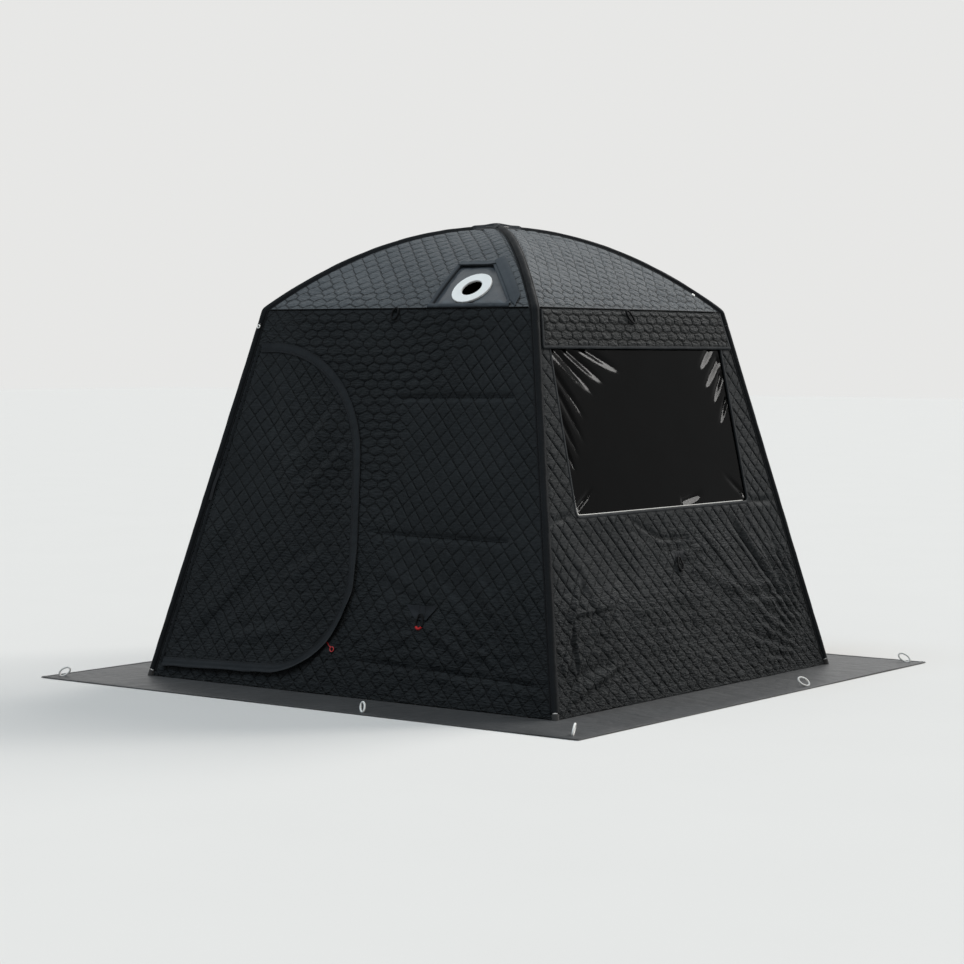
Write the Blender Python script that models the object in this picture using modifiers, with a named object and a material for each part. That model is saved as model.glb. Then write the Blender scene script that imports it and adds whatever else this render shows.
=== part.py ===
"""Sauna tent: quilted walls and roof on a quick-up frame with one hub, four ribs and four legs.

Metres, +Z up. The origin is on the ground below the hub, the door faces -Y and the window +X.
Pieces of a side are drawn as the front side and turned about Z. Pieces of a corner are drawn in
the XZ plane, with X running out along the tent's diagonal, and turned about Z.
"""
import math

import bmesh
import bpy
from mathutils import Matrix, Vector

# Overall sizes, over the corner sleeves
SKIRT_SIDE = 2.70
BASE_SIDE = 2.08
EAVE_SIDE = 1.40
EAVE_HEIGHT = 1.525
PEAK_HEIGHT = 1.90

# Clearances
SEAT_GAP = 0.0003
RUN_GAP = 0.0006
OVERRUN = 0.02
WELD_DISTANCE = 0.000001

# Fabric
WALL_THICKNESS = 0.006
SKIRT_THICKNESS = 0.003
SKIRT_TUCK = 0.010
EAVE_SEAM = 0.0012
SLEEVE_RADIUS = 0.015
SLEEVE_WALL = 0.003
SLEEVE_TOP_REACH = 0.075
SLEEVE_FOOT_HEIGHT = 0.032
HOOD_LENGTH = 0.058
HOOD_OPEN_LENGTH = 0.085
CAP_RADIUS = 0.105
CAP_THICKNESS = 0.004
CAP_RISE = 0.010
GORE_TOP_HALF = 0.070

# Frame tubes and rods
RIB_RADIUS = 0.0055
RIB_BEND_ROOM = 0.0006
LEG_RADIUS = 0.0095
LEG_WALL = 0.0012

# Hub
HUB_RADIUS = 0.055
HUB_ABOVE = 0.012
HUB_BELOW = 0.008
HUB_CORE_RADIUS = 0.034
HUB_EDGE = 0.002
PLATE_THICKNESS = 0.005
HINGE_REACH = 0.042
WIRE_RADIUS = 0.002
EYE_RADIUS = 0.0065
EYE_HALF = 0.0050

# Elbow between rib and leg
PIVOT_OFFSET = 0.014
EAR_RADIUS = 0.008
EAR_THICKNESS = 0.0032
EAR_SLOT_ROOM = 0.0045
TONGUE_HALF = 0.0037
PIN_RADIUS = 0.003
PIN_HEAD_RADIUS = 0.0048
PIN_HEAD = 0.0009
SOCKET_RADIUS = 0.0085
SOCKET_START = 0.012
SOCKET_LENGTH = 0.053
EAR_ROOT = 0.020
COLLAR_START = 0.022
COLLAR_LENGTH = 0.012
SPIGOT_LENGTH = 0.040

# Foot
FOOT_RADIUS = 0.014
FOOT_LENGTH = 0.026
FOOT_PLUG = 0.030

# Door in the front wall, heights along Z
DOOR_STRIP = 0.030
DOOR_BELOW_EAVE = 0.153
DOOR_TOP_RIGHT_X = -0.140
DOOR_BOTTOM_RIGHT_X = 0.035
DOOR_BOTTOM_RIGHT = 0.090
DOOR_BOTTOM_LEFT = 0.063
DOOR_TOP_ROUND = 0.985
DOOR_BOTTOM_RADIUS = 0.39
HINGE_GAP = 0.0012
ZIP_WIDTH = 0.006
ZIP_THICKNESS = 0.003
FLAP_ON_LEAF = 0.022
FLAP_OVER_ZIP = 0.018
FLAP_FOLD = 0.010
FLAP_THICKNESS = 0.003
SLIDER_LENGTH = 0.014
PULL_WIDTH = 0.005
PULL_THICKNESS = 0.0012
PULL_REACH = 0.049
PULL_RING_RADIUS = 0.0095
PULL_RING_WIRE = 0.0022

# Window and valance in the right wall
WINDOW_BELOW_EAVE = 0.140
WINDOW_BOTTOM = 0.728
WINDOW_TOP_MARGIN = 0.083
WINDOW_BOTTOM_MARGIN = 0.220
WINDOW_RADIUS = 0.018
PANE_THICKNESS = 0.0015
PANE_LAP = 0.018
VALANCE_TOP = 0.006
VALANCE_DEPTH = 0.155
VALANCE_THICKNESS = 0.004
VALANCE_EDGE = 0.022

# Flue panel in the front roof, with up, below and above along the roof's surface
FLUE_UP = 0.111
FLUE_BELOW = 0.095
FLUE_ABOVE = 0.170
FLUE_RIDGE_GAP_LOW = 0.118
FLUE_RIDGE_GAP_HIGH = 0.140
FLUE_WIDTH = 0.387
FLUE_CENTRE_IN = 0.152
FLUE_CORNER_RADIUS = 0.012
FLUE_LAP = 0.012
FLUE_PANEL_THICKNESS = 0.002
RING_RADIUS = 0.087
RING_THICKNESS = 0.008
RING_EDGE = 0.0015
HOLE_RADIUS = 0.0445
ROLL_WIDTH = 0.038
ROLL_THICKNESS = 0.010
ROLL_SPACE = 0.008

# Pull loops on the walls and the door's tie strap
LOOP_PATCH_TOP = 0.080
LOOP_PATCH_BOTTOM = 0.044
LOOP_PATCH_DEPTH = 0.045
LOOP_PATCH_THICKNESS = 0.002
LOOP_RADIUS = 0.017
LOOP_CORD = 0.0032
FRONT_LOOP_X = 0.340
FRONT_LOOP_HEIGHT = 0.330
RIGHT_LOOP_X = 0.010
RIGHT_LOOP_HEIGHT = 0.520
STRAP_WIDTH = 0.016
STRAP_THICKNESS = 0.002
STRAP_TOP = 0.865
STRAP_BOTTOM = 0.735

# Fineness of round forms
ROUND_SIDES = 24
SMALL_SIDES = 12
TUBE_RESOLUTION = 4
LEG_RESOLUTION = 6
ARC_STEPS = 10
CURVE_WEIGHT = 1.0
RIB_STEPS = 10
GORE_ROWS = 10
SHARP_ANGLE = math.radians(35)

SIDES = ("front", "right", "back", "left")
CORNERS = ("front_right", "back_right", "back_left", "front_left")
QUARTER = math.pi / 2

# Worked-out lines that every piece shares
ROOT2 = math.sqrt(2)
BASE_REACH = BASE_SIDE / ROOT2 - SLEEVE_RADIUS
EAVE_REACH = EAVE_SIDE / ROOT2 - SLEEVE_RADIUS
RIDGE_TOP = PEAK_HEIGHT - CAP_RISE - CAP_THICKNESS - SLEEVE_RADIUS
RIDGE_DROP = RIDGE_TOP - EAVE_HEIGHT
BASE_HALF = BASE_REACH / ROOT2
EAVE_HALF = EAVE_REACH / ROOT2
SLANT = math.hypot(BASE_HALF - EAVE_HALF, EAVE_HEIGHT)
SLANT_PER_HEIGHT = SLANT / EAVE_HEIGHT
WALL_LEAN = math.atan2(BASE_HALF - EAVE_HALF, EAVE_HEIGHT)

PARTS = None
CUTTERS = None


def ridge_height(reach):
    """Height of the ridge's centre line at a distance from the tent's axis, along a diagonal."""
    return RIDGE_TOP - RIDGE_DROP * (reach / EAVE_REACH) ** 2


def ridge_slope(reach):
    return -2 * RIDGE_DROP * reach / EAVE_REACH**2


def ridge_point(reach):
    return Vector((reach, 0, ridge_height(reach)))


def along(point, direction, distance):
    return point + direction * distance


EAVE_POINT = Vector((EAVE_REACH, 0, EAVE_HEIGHT))
BASE_POINT = Vector((BASE_REACH, 0, 0))
LEG_WAY = (BASE_POINT - EAVE_POINT).normalized()
RIB_WAY = -Vector((1, 0, ridge_slope(EAVE_REACH))).normalized()
HINGE_POINT = ridge_point(HINGE_REACH)
ELBOW_HALF_ANGLE = LEG_WAY.angle(RIB_WAY) / 2
PIVOT_POINT = along(
    EAVE_POINT,
    (LEG_WAY + RIB_WAY).normalized(),
    PIVOT_OFFSET / math.sin(ELBOW_HALF_ANGLE),
)
LEG_TOP = COLLAR_START + COLLAR_LENGTH + SEAT_GAP
FOOT_BASE = SKIRT_THICKNESS + SEAT_GAP
LEG_FULL = (BASE_POINT - EAVE_POINT).length
LEG_BOTTOM = LEG_FULL - FOOT_LENGTH
FLUE_SLOPE = ridge_slope((EAVE_HALF - FLUE_UP) * ROOT2) * ROOT2
FLUE_SHORTENING = 1 / math.hypot(1, FLUE_SLOPE)
FLUE_REACH = EAVE_HALF - FLUE_UP * FLUE_SHORTENING
FLUE_LOWER = FLUE_REACH + FLUE_BELOW * FLUE_SHORTENING
FLUE_UPPER = FLUE_REACH - FLUE_ABOVE * FLUE_SHORTENING
FLUE_BOTTOM_RIGHT = FLUE_LOWER - FLUE_RIDGE_GAP_LOW
FLUE_TOP_RIGHT = FLUE_UPPER - FLUE_RIDGE_GAP_HIGH
FLUE_LEFT = FLUE_BOTTOM_RIGHT - FLUE_WIDTH
FLUE_X = FLUE_LEFT + FLUE_CENTRE_IN


def clear_scene():
    for obj in list(bpy.data.objects):
        bpy.data.objects.remove(obj)


def make_collection(name):
    collection = bpy.data.collections.new(name)
    bpy.context.scene.collection.children.link(collection)
    return collection


def material(name, color, roughness, metallic=0.0):
    made = bpy.data.materials.new(name)
    made.use_nodes = True
    shader = made.node_tree.nodes["Principled BSDF"]
    shader.inputs["Base Color"].default_value = (*color, 1)
    shader.inputs["Roughness"].default_value = roughness
    shader.inputs["Metallic"].default_value = metallic
    made.diffuse_color = (*color, 1)
    return made


def place(name, mesh, made_of, matrix=None, parent=None):
    """Adds a finished mesh as a named piece."""
    obj = bpy.data.objects.new(name, mesh)
    if not mesh.materials:
        mesh.materials.append(made_of)
    if matrix is not None:
        obj.matrix_world = matrix
    if parent is not None:
        obj.parent = parent
    PARTS.objects.link(obj)
    return obj


def pivot(name, matrix, parent=None):
    """Adds an empty on a joint's axis."""
    empty = bpy.data.objects.new(name, None)
    empty.empty_display_size = HUB_RADIUS
    if parent is not None:
        empty.parent = parent
        matrix = parent.matrix_world.inverted() @ matrix
    empty.matrix_local = matrix
    PARTS.objects.link(empty)
    bpy.context.view_layer.update()
    return empty


def shape_object(name, data, matrix=None):
    """A working shape in the cutters' collection, which isn't a piece by itself."""
    obj = bpy.data.objects.new(name, data)
    if matrix is not None:
        obj.matrix_world = matrix
    CUTTERS.objects.link(obj)
    obj.hide_render = True
    obj.display_type = "WIRE"
    return obj


def settle(obj):
    """The object's evaluated mesh in world space, with loose caps welded. Removes the object."""
    bpy.context.view_layer.update()
    evaluated = obj.evaluated_get(bpy.context.evaluated_depsgraph_get())
    mesh = bpy.data.meshes.new_from_object(evaluated)
    mesh.name = obj.name
    mesh.transform(obj.matrix_world)
    bm = bmesh.new()
    bm.from_mesh(mesh)
    bmesh.ops.remove_doubles(bm, verts=bm.verts, dist=WELD_DISTANCE)
    bm.to_mesh(mesh)
    bm.free()
    mesh.materials.clear()
    bpy.data.objects.remove(obj)
    return mesh


def smooth(mesh):
    mesh.shade_smooth()
    mesh.set_sharp_from_angle(angle=SHARP_ANGLE)
    return mesh


def combine(base, others, operation):
    """Boolean of working shapes, settled into one mesh."""
    for other in others:
        cut = base.modifiers.new(other.name, "BOOLEAN")
        cut.operation = operation
        cut.object = other
        cut.solver = "EXACT"
    mesh = settle(base)
    for other in others:
        bpy.data.objects.remove(other)
    return mesh


def cylinder(name, start, end, radius, sides=SMALL_SIDES):
    """A solid round bar from one point to another."""
    run = end - start
    bm = bmesh.new()
    bmesh.ops.create_cone(
        bm, cap_ends=True, segments=sides, radius1=radius, radius2=radius, depth=run.length
    )
    mesh = bpy.data.meshes.new(name)
    bm.to_mesh(mesh)
    bm.free()
    turn = run.to_track_quat("Z", "Y").to_matrix().to_4x4()
    return shape_object(name, mesh, Matrix.Translation((start + end) / 2) @ turn)


def box(name, low, high):
    """A box between two corners."""
    low = Vector(low)
    high = Vector(high)
    bm = bmesh.new()
    bmesh.ops.create_cube(bm, size=1)
    mesh = bpy.data.meshes.new(name)
    bm.to_mesh(mesh)
    bm.free()
    size = high - low
    mesh.transform(Matrix.Diagonal((*size, 1)))
    return shape_object(name, mesh, Matrix.Translation((low + high) / 2))


def run_curve(name, points, radius, resolution, caps):
    """A round curve through points."""
    curve = bpy.data.curves.new(name, "CURVE")
    curve.dimensions = "3D"
    curve.bevel_depth = radius
    curve.bevel_resolution = resolution
    curve.use_fill_caps = caps
    spline = curve.splines.new("POLY")
    spline.points.add(len(points) - 1)
    for spot, point in zip(spline.points, points):
        spot.co = (*point, CURVE_WEIGHT)
    return shape_object(name, curve)


def rod(name, points, radius, resolution=TUBE_RESOLUTION):
    mesh = settle(run_curve(name, points, radius, resolution, caps=True))
    return shape_object(name, mesh)


def tube(name, points, radius, wall, resolution=TUBE_RESOLUTION):
    """A hollow round tube, open at both ends."""
    mesh = settle(run_curve(name, points, radius, resolution, caps=False))
    obj = shape_object(name, mesh)
    shell = obj.modifiers.new("wall", "SOLIDIFY")
    shell.thickness = wall
    shell.offset = -1
    shell.use_even_offset = True
    return shape_object(name, settle(obj))


def turned(name, profile, sides=ROUND_SIDES, matrix=None):
    """A profile of (radius, height) points, outer side first and top to bottom, turned about Z."""
    mesh = bpy.data.meshes.new(name)
    verts = [(radius, 0, height) for radius, height in profile]
    closed = profile[0][0] > 0
    edges = [(k, k + 1) for k in range(len(verts) - 1)]
    if closed:
        edges.append((len(verts) - 1, 0))
    mesh.from_pydata(verts, edges, [])
    obj = shape_object(name, mesh)
    screw = obj.modifiers.new("turn", "SCREW")
    screw.steps = sides
    screw.render_steps = sides
    screw.use_merge_vertices = True
    screw.merge_threshold = WELD_DISTANCE
    return shape_object(name, settle(obj), matrix)


def flat(name, outlines, thickness, matrix):
    """A flat sheet cut to closed outlines, centred on its plane. Inner outlines are holes."""
    curve = bpy.data.curves.new(name, "CURVE")
    curve.dimensions = "2D"
    curve.fill_mode = "BOTH"
    curve.extrude = thickness / 2
    for outline in outlines:
        spline = curve.splines.new("POLY")
        spline.points.add(len(outline) - 1)
        spline.use_cyclic_u = True
        for spot, (across, up) in zip(spline.points, outline):
            spot.co = (across, up, 0, CURVE_WEIGHT)
    return shape_object(name, curve, matrix)


def meeting_point(first, first_way, second, second_way):
    """Where two lines in a plane cross."""
    gap = second - first
    share = gap.cross(second_way) / first_way.cross(second_way)
    return first + first_way * share


def grown(corners, distances):
    """Corners (point, radius) of an outline whose edges are moved out, each by its distance."""
    count = len(corners)
    edges = []
    for k, (point, _) in enumerate(corners):
        way = (corners[(k + 1) % count][0] - point).normalized()
        outward = Vector((way.y, -way.x))
        edges.append((point + outward * distances[k], way))
    result = []
    for k, (_, radius) in enumerate(corners):
        before = edges[k - 1]
        after = edges[k]
        step = max(distances[k - 1], distances[k])
        result.append((meeting_point(*before, *after), radius + step if radius else radius))
    return result


def corner_arc(before, corner, after, radius):
    """Centre, start angle and sweep of the round that joins two edges."""
    back = (before - corner).normalized()
    ahead = (after - corner).normalized()
    half = back.angle(ahead) / 2
    centre = corner + (back + ahead).normalized() * radius / math.sin(half)
    first = corner + back * radius / math.tan(half) - centre
    last = corner + ahead * radius / math.tan(half) - centre
    start = math.atan2(first.y, first.x)
    sweep = math.atan2(first.cross(last), first.dot(last))
    return centre, start, sweep


def rounded(corners):
    """Points of an outline, with an arc at each corner that has a radius."""
    points = []
    for k, (corner, radius) in enumerate(corners):
        if not radius:
            points.append(corner)
            continue
        before = corners[k - 1][0]
        after = corners[(k + 1) % len(corners)][0]
        centre, start, sweep = corner_arc(before, corner, after, radius)
        for step in range(ARC_STEPS + 1):
            angle = start + sweep * step / ARC_STEPS
            points.append(centre + Vector((math.cos(angle), math.sin(angle))) * radius)
    return points


def side_turn(side):
    return Matrix.Rotation(QUARTER * SIDES.index(side), 4, "Z")


def corner_turn(corner):
    return Matrix.Rotation(QUARTER * (CORNERS.index(corner) - 1 / 2), 4, "Z")


def wall_plane(side, offset=0.0):
    """Places a flat sheet on a wall: X across, Y up the slant, Z outward."""
    lean = Matrix.Rotation(-WALL_LEAN, 4, "X") @ Matrix.Rotation(QUARTER, 4, "X")
    shift = Matrix.Translation((0, -BASE_HALF, 0))
    return side_turn(side) @ shift @ lean @ Matrix.Translation((0, 0, offset))


def wall_spot(across, height):
    """A place on a wall's plane from its height above the ground."""
    return Vector((across, height * SLANT_PER_HEIGHT))


def wall_half(up):
    """Half the distance between a wall's corner centre lines, at a distance up the slant."""
    return BASE_HALF + (EAVE_HALF - BASE_HALF) * up / SLANT


def edge_room(way):
    """Room along a wall or roof edge that clears the round sleeve, whose centre line runs one way."""
    across = way.x / ROOT2
    return (SLEEVE_RADIUS + SEAT_GAP) / math.sqrt(1 - across**2)


WALL_EDGE = edge_room(LEG_WAY)
WALL_FLOOR = (SKIRT_THICKNESS + SEAT_GAP + math.sin(WALL_LEAN) * WALL_THICKNESS / 2) * SLANT_PER_HEIGHT
WALL_FACE = WALL_THICKNESS / 2
DOOR_TOP = EAVE_HEIGHT - DOOR_BELOW_EAVE
WINDOW_TOP = EAVE_HEIGHT - WINDOW_BELOW_EAVE


def wall_outline():
    top = SLANT - EAVE_SEAM
    low = wall_half(WALL_FLOOR) - WALL_EDGE
    high = wall_half(top) - WALL_EDGE
    return [(-low, WALL_FLOOR), (low, WALL_FLOOR), (high, top), (-high, top)]


def hinge_line_spot(height):
    """A place on the door's hinge line, beside the left corner sleeve."""
    up = height * SLANT_PER_HEIGHT
    return Vector((DOOR_STRIP + WALL_EDGE - wall_half(up), up))


def door_corners():
    top_left = hinge_line_spot(DOOR_TOP)
    top_right = wall_spot(DOOR_TOP_RIGHT_X, DOOR_TOP)
    return [
        (top_left, 0),
        (hinge_line_spot(DOOR_BOTTOM_LEFT), 0),
        (wall_spot(DOOR_BOTTOM_RIGHT_X, DOOR_BOTTOM_RIGHT), DOOR_BOTTOM_RADIUS),
        (top_right, (top_right - top_left).length * DOOR_TOP_ROUND),
    ]


def door_outline(hinge_side, zip_side):
    return rounded(grown(door_corners(), (hinge_side, zip_side, zip_side, zip_side)))


def door_band(inner, outer):
    """A strip that follows the door's three free sides, between two distances from the leaf."""
    far = door_outline(0, outer)
    near = door_outline(0, inner)
    return far[1:] + far[:1] + near[:1] + near[:0:-1]


def wall_margin_spot(side, height, margin):
    """A place at a margin from a wall's corner sleeve: side is -1 at the left, 1 at the right."""
    spot = wall_spot(0, height)
    spot.x = side * (wall_half(spot.y) - WALL_EDGE - margin)
    return spot


def window_corners(grow=0.0):
    corners = [
        (wall_margin_spot(-1, WINDOW_TOP, WINDOW_TOP_MARGIN), WINDOW_RADIUS),
        (wall_margin_spot(-1, WINDOW_BOTTOM, WINDOW_BOTTOM_MARGIN), WINDOW_RADIUS),
        (wall_margin_spot(1, WINDOW_BOTTOM, WINDOW_BOTTOM_MARGIN), WINDOW_RADIUS),
        (wall_margin_spot(1, WINDOW_TOP, WINDOW_TOP_MARGIN), WINDOW_RADIUS),
    ]
    return rounded(grown(corners, (grow, grow, grow, grow)))


def make_walls(quilt):
    holes = {
        "front": [door_outline(HINGE_GAP, ZIP_WIDTH)],
        "right": [window_corners()],
    }
    for side in SIDES:
        name = side + "_wall"
        outlines = [wall_outline()] + holes.get(side, [])
        sheet = flat(name, outlines, WALL_THICKNESS, wall_plane(side))
        place(name, settle(sheet), quilt)


def gore_slab(name, thickness, offset=0.0):
    """A roof side as a curved slab, level across, along the ridges' arch."""
    top_reach = GORE_TOP_HALF * ROOT2
    lowest = EAVE_REACH - EAVE_SEAM
    verts = []
    for row in range(GORE_ROWS + 1):
        reach = top_reach + (lowest - top_reach) * row / GORE_ROWS
        half = reach / ROOT2
        way = Vector((1, 0, ridge_slope(reach))).normalized()
        slope = ridge_slope(reach) * ROOT2
        normal = Vector((0, slope, 1)).normalized()
        width = half - edge_room(way)
        for side in (-1, 1):
            spot = Vector((side * width, -half, ridge_height(reach)))
            verts.append(spot + normal * offset)
    faces = [(2 * k, 2 * k + 2, 2 * k + 3, 2 * k + 1) for k in range(GORE_ROWS)]
    mesh = bpy.data.meshes.new(name)
    mesh.from_pydata(verts, [], faces)
    obj = shape_object(name, mesh)
    shell = obj.modifiers.new("thickness", "SOLIDIFY")
    shell.thickness = thickness
    shell.offset = 0
    shell.use_even_offset = True
    return shape_object(name, settle(obj))


def flue_corners():
    return [
        (Vector((FLUE_LEFT, -FLUE_UPPER)), FLUE_CORNER_RADIUS),
        (Vector((FLUE_LEFT, -FLUE_LOWER)), FLUE_CORNER_RADIUS),
        (Vector((FLUE_BOTTOM_RIGHT, -FLUE_LOWER)), FLUE_CORNER_RADIUS),
        (Vector((FLUE_TOP_RIGHT, -FLUE_UPPER)), FLUE_CORNER_RADIUS),
    ]


def plan_prism(name, corners):
    """An upright prism through the roof, cut to an outline in plan."""
    middle = (EAVE_HEIGHT + PEAK_HEIGHT) / 2
    depth = PEAK_HEIGHT - EAVE_HEIGHT + OVERRUN
    sheet = flat(name, [rounded(corners)], depth, Matrix.Translation((0, 0, middle)))
    return shape_object(name, settle(sheet))


def flue_place(offset):
    """A frame on the front roof at the flue's centre, with Z straight out of the surface."""
    reach = FLUE_REACH * ROOT2
    slope = ridge_slope(reach) * ROOT2
    spot = Vector((FLUE_X, -FLUE_REACH, ridge_height(reach)))
    normal = Vector((0, slope, 1)).normalized()
    turn = normal.to_track_quat("Z", "Y").to_matrix().to_4x4()
    return Matrix.Translation(spot + normal * offset) @ turn


def flue_bore(name, radius):
    place_matrix = flue_place(0)
    bore = cylinder(name, Vector((0, 0, -OVERRUN)), Vector((0, 0, OVERRUN)), radius, ROUND_SIDES)
    bore.matrix_world = place_matrix @ bore.matrix_world
    return bore


def make_roof(quilt):
    for side in SIDES:
        name = side + "_gore"
        slab = gore_slab(name, WALL_THICKNESS)
        if side == "front":
            opening = plan_prism("flue_opening", flue_corners())
            mesh = combine(slab, [opening], "DIFFERENCE")
        else:
            mesh = settle(slab)
        mesh.transform(side_turn(side))
        place(name, smooth(mesh), quilt)


def make_flue(heat_cloth, silicone, cloth):
    under = -(WALL_THICKNESS + FLUE_PANEL_THICKNESS) / 2 - SEAT_GAP
    panel = gore_slab("flue_panel", FLUE_PANEL_THICKNESS, under)
    lap = grown(flue_corners(), (FLUE_LAP, FLUE_LAP, FLUE_LAP, FLUE_LAP))
    trimmed = combine(panel, [plan_prism("flue_lap", lap)], "INTERSECT")
    hole = flue_bore("flue_hole", HOLE_RADIUS)
    bored = combine(shape_object("flue_panel", trimmed), [hole], "DIFFERENCE")
    place("flue_panel", smooth(bored), heat_cloth)

    inner = HOLE_RADIUS + RING_EDGE
    outer = RING_RADIUS - RING_EDGE
    shoulder = RING_THICKNESS - RING_EDGE
    profile = [
        (inner, RING_THICKNESS),
        (outer, RING_THICKNESS),
        (RING_RADIUS, shoulder),
        (RING_RADIUS, 0),
        (HOLE_RADIUS, 0),
        (HOLE_RADIUS, shoulder),
    ]
    ring = turned("flue_ring", profile, ROUND_SIDES, flue_place(-WALL_FACE))
    place("flue_ring", smooth(settle(ring)), silicone)

    rise = WALL_FACE + SEAT_GAP + ROLL_THICKNESS / 2
    roll = gore_slab("flue_flap", ROLL_THICKNESS, rise)
    corners = flue_corners()
    low = corners[2][0]
    high = corners[3][0]
    way = (high - low).normalized()
    out = Vector((way.y, -way.x))
    near = out * ROLL_SPACE
    far = out * (ROLL_SPACE + ROLL_WIDTH)
    strip = [
        (low + near, FLUE_CORNER_RADIUS),
        (low + far, FLUE_CORNER_RADIUS),
        (high + far, FLUE_CORNER_RADIUS),
        (high + near, FLUE_CORNER_RADIUS),
    ]
    rolled = combine(roll, [plan_prism("flap_outline", strip)], "INTERSECT")
    place("flue_flap", smooth(rolled), cloth)


def make_apex_cap(cloth):
    """The round patch that covers the hub and laps the four ridge sleeves."""
    base = ridge_height(CAP_RADIUS) + SLEEVE_RADIUS + SEAT_GAP
    rise = PEAK_HEIGHT - CAP_THICKNESS - base
    steps = ARC_STEPS // 2
    under = []
    for step in range(steps + 1):
        share = step / steps
        under.append((CAP_RADIUS * share, base + rise * (1 - share**2)))
    over = [(radius, height + CAP_THICKNESS) for radius, height in under]
    cap = turned("apex_cap", over + under[::-1])
    place("apex_cap", smooth(settle(cap)), cloth)


def make_skirts(cloth):
    """Four mitred strips that lie on the ground, each tucked under its wall."""
    outer = SKIRT_SIDE / 2
    inner = BASE_HALF - SKIRT_TUCK
    mitre = SEAT_GAP / ROOT2
    outline = [
        (-outer + mitre, -outer),
        (outer - mitre, -outer),
        (inner - mitre, -inner),
        (mitre - inner, -inner),
    ]
    for side in SIDES:
        name = side + "_skirt"
        lift = Matrix.Translation((0, 0, SKIRT_THICKNESS / 2))
        sheet = flat(name, [outline], SKIRT_THICKNESS, side_turn(side) @ lift)
        place(name, settle(sheet), cloth)


def make_hub(plastic, steel):
    """Moulded hub: a slotted body, a wire ring that the ribs turn on, and a plate that holds it in."""
    centre = HINGE_POINT.z
    hub = pivot("hub_slide", Matrix.Translation((0, 0, centre)))
    slot_half = RIB_RADIUS + SEAT_GAP
    groove = WIRE_RADIUS + SEAT_GAP
    body_profile = [
        (0, HUB_ABOVE),
        (HUB_RADIUS - HUB_EDGE, HUB_ABOVE),
        (HUB_RADIUS, HUB_ABOVE - HUB_EDGE),
        (HUB_RADIUS, -HUB_BELOW),
        (0, -HUB_BELOW),
    ]
    body = turned("hub_body", body_profile)
    groove_profile = [
        (HINGE_REACH + groove, groove),
        (HINGE_REACH + groove, -HUB_BELOW - OVERRUN),
        (HINGE_REACH - groove, -HUB_BELOW - OVERRUN),
        (HINGE_REACH - groove, groove),
    ]
    tools = [turned("ring_groove", groove_profile, 2 * ROUND_SIDES)]
    tools += hub_slots(slot_half)
    mesh = combine(body, tools, "DIFFERENCE")
    place("hub_body", smooth(mesh), plastic, parent=hub)

    wire = ring_body("hub_ring", HINGE_REACH, WIRE_RADIUS, 2 * ROUND_SIDES)
    place("hub_ring", smooth(settle(wire)), steel, parent=hub)

    boss = WIRE_RADIUS
    boss_top = -WIRE_RADIUS - SEAT_GAP
    plate_top = -HUB_BELOW - SEAT_GAP
    plate_profile = [
        (0, plate_top),
        (HUB_RADIUS, plate_top),
        (HUB_RADIUS, plate_top + HUB_EDGE - PLATE_THICKNESS),
        (HUB_RADIUS - HUB_EDGE, plate_top - PLATE_THICKNESS),
        (0, plate_top - PLATE_THICKNESS),
    ]
    boss_profile = [
        (HINGE_REACH + boss, boss_top),
        (HINGE_REACH + boss, plate_top - PLATE_THICKNESS / 2),
        (HINGE_REACH - boss, plate_top - PLATE_THICKNESS / 2),
        (HINGE_REACH - boss, boss_top),
    ]
    lip = turned("plate_lip", boss_profile, 2 * ROUND_SIDES)
    lip = combine(lip, hub_slots(EYE_RADIUS + RUN_GAP, plate_top), "DIFFERENCE")
    plate = combine(turned("hub_plate", plate_profile), [shape_object("plate_lip", lip)], "UNION")
    place("hub_plate", smooth(plate), plastic, parent=hub)
    return hub


def hub_slots(half_width, floor=-OVERRUN):
    """Boxes for the four radial slots, from the hub's core out past its rim."""
    slots = []
    for corner in CORNERS:
        low = (HUB_CORE_RADIUS, -half_width, floor)
        slot = box("slot_" + corner, low, (HUB_RADIUS + OVERRUN, half_width, OVERRUN))
        slot.matrix_world = corner_turn(corner) @ slot.matrix_world
        slots.append(slot)
    return slots


def lateral_bar(name, centre, radius, half_length, sides=SMALL_SIDES):
    """A round bar across the diagonal plane."""
    side = Vector((0, half_length, 0))
    return cylinder(name, centre - side, centre + side, radius, sides)


def link_plate(name, first, second, radius, half_width):
    """A plate with round ends, in the diagonal plane."""
    way = (second - first).normalized()
    normal = Vector((-way.z, 0, way.x)) * radius
    side = Vector((0, half_width, 0))
    corners = [first + normal, second + normal, second - normal, first - normal]
    bm = bmesh.new()
    rows = [[bm.verts.new(corner + side * sign) for corner in corners] for sign in (-1, 1)]
    bm.faces.new(rows[0])
    bm.faces.new(rows[1][::-1])
    for k in range(len(corners)):
        after = (k + 1) % len(corners)
        bm.faces.new((rows[0][after], rows[0][k], rows[1][k], rows[1][after]))
    bmesh.ops.recalc_face_normals(bm, faces=bm.faces)
    mesh = bpy.data.meshes.new(name)
    bm.to_mesh(mesh)
    bm.free()
    ends = [lateral_bar(name + "_end", spot, radius, half_width) for spot in (first, second)]
    return shape_object(name, combine(shape_object(name, mesh), ends, "UNION"))


def rib_mesh():
    """Arched rod with an eye at the hub end."""
    start = HINGE_REACH + EYE_RADIUS / 2
    stop = EAVE_REACH + RIB_WAY.x * (SOCKET_START + PIVOT_OFFSET / 2)
    points = []
    for step in range(RIB_STEPS + 1):
        points.append(ridge_point(start + (stop - start) * step / RIB_STEPS))
    bar = rod("rib", points, RIB_RADIUS)
    eye = lateral_bar("eye", HINGE_POINT, EYE_RADIUS, EYE_HALF)
    mesh = combine(bar, [eye], "UNION")
    hole = lateral_bar("eye_hole", HINGE_POINT, WIRE_RADIUS + RUN_GAP, RIB_RADIUS + OVERRUN)
    return combine(shape_object("rib", mesh), [hole], "DIFFERENCE")


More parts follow.
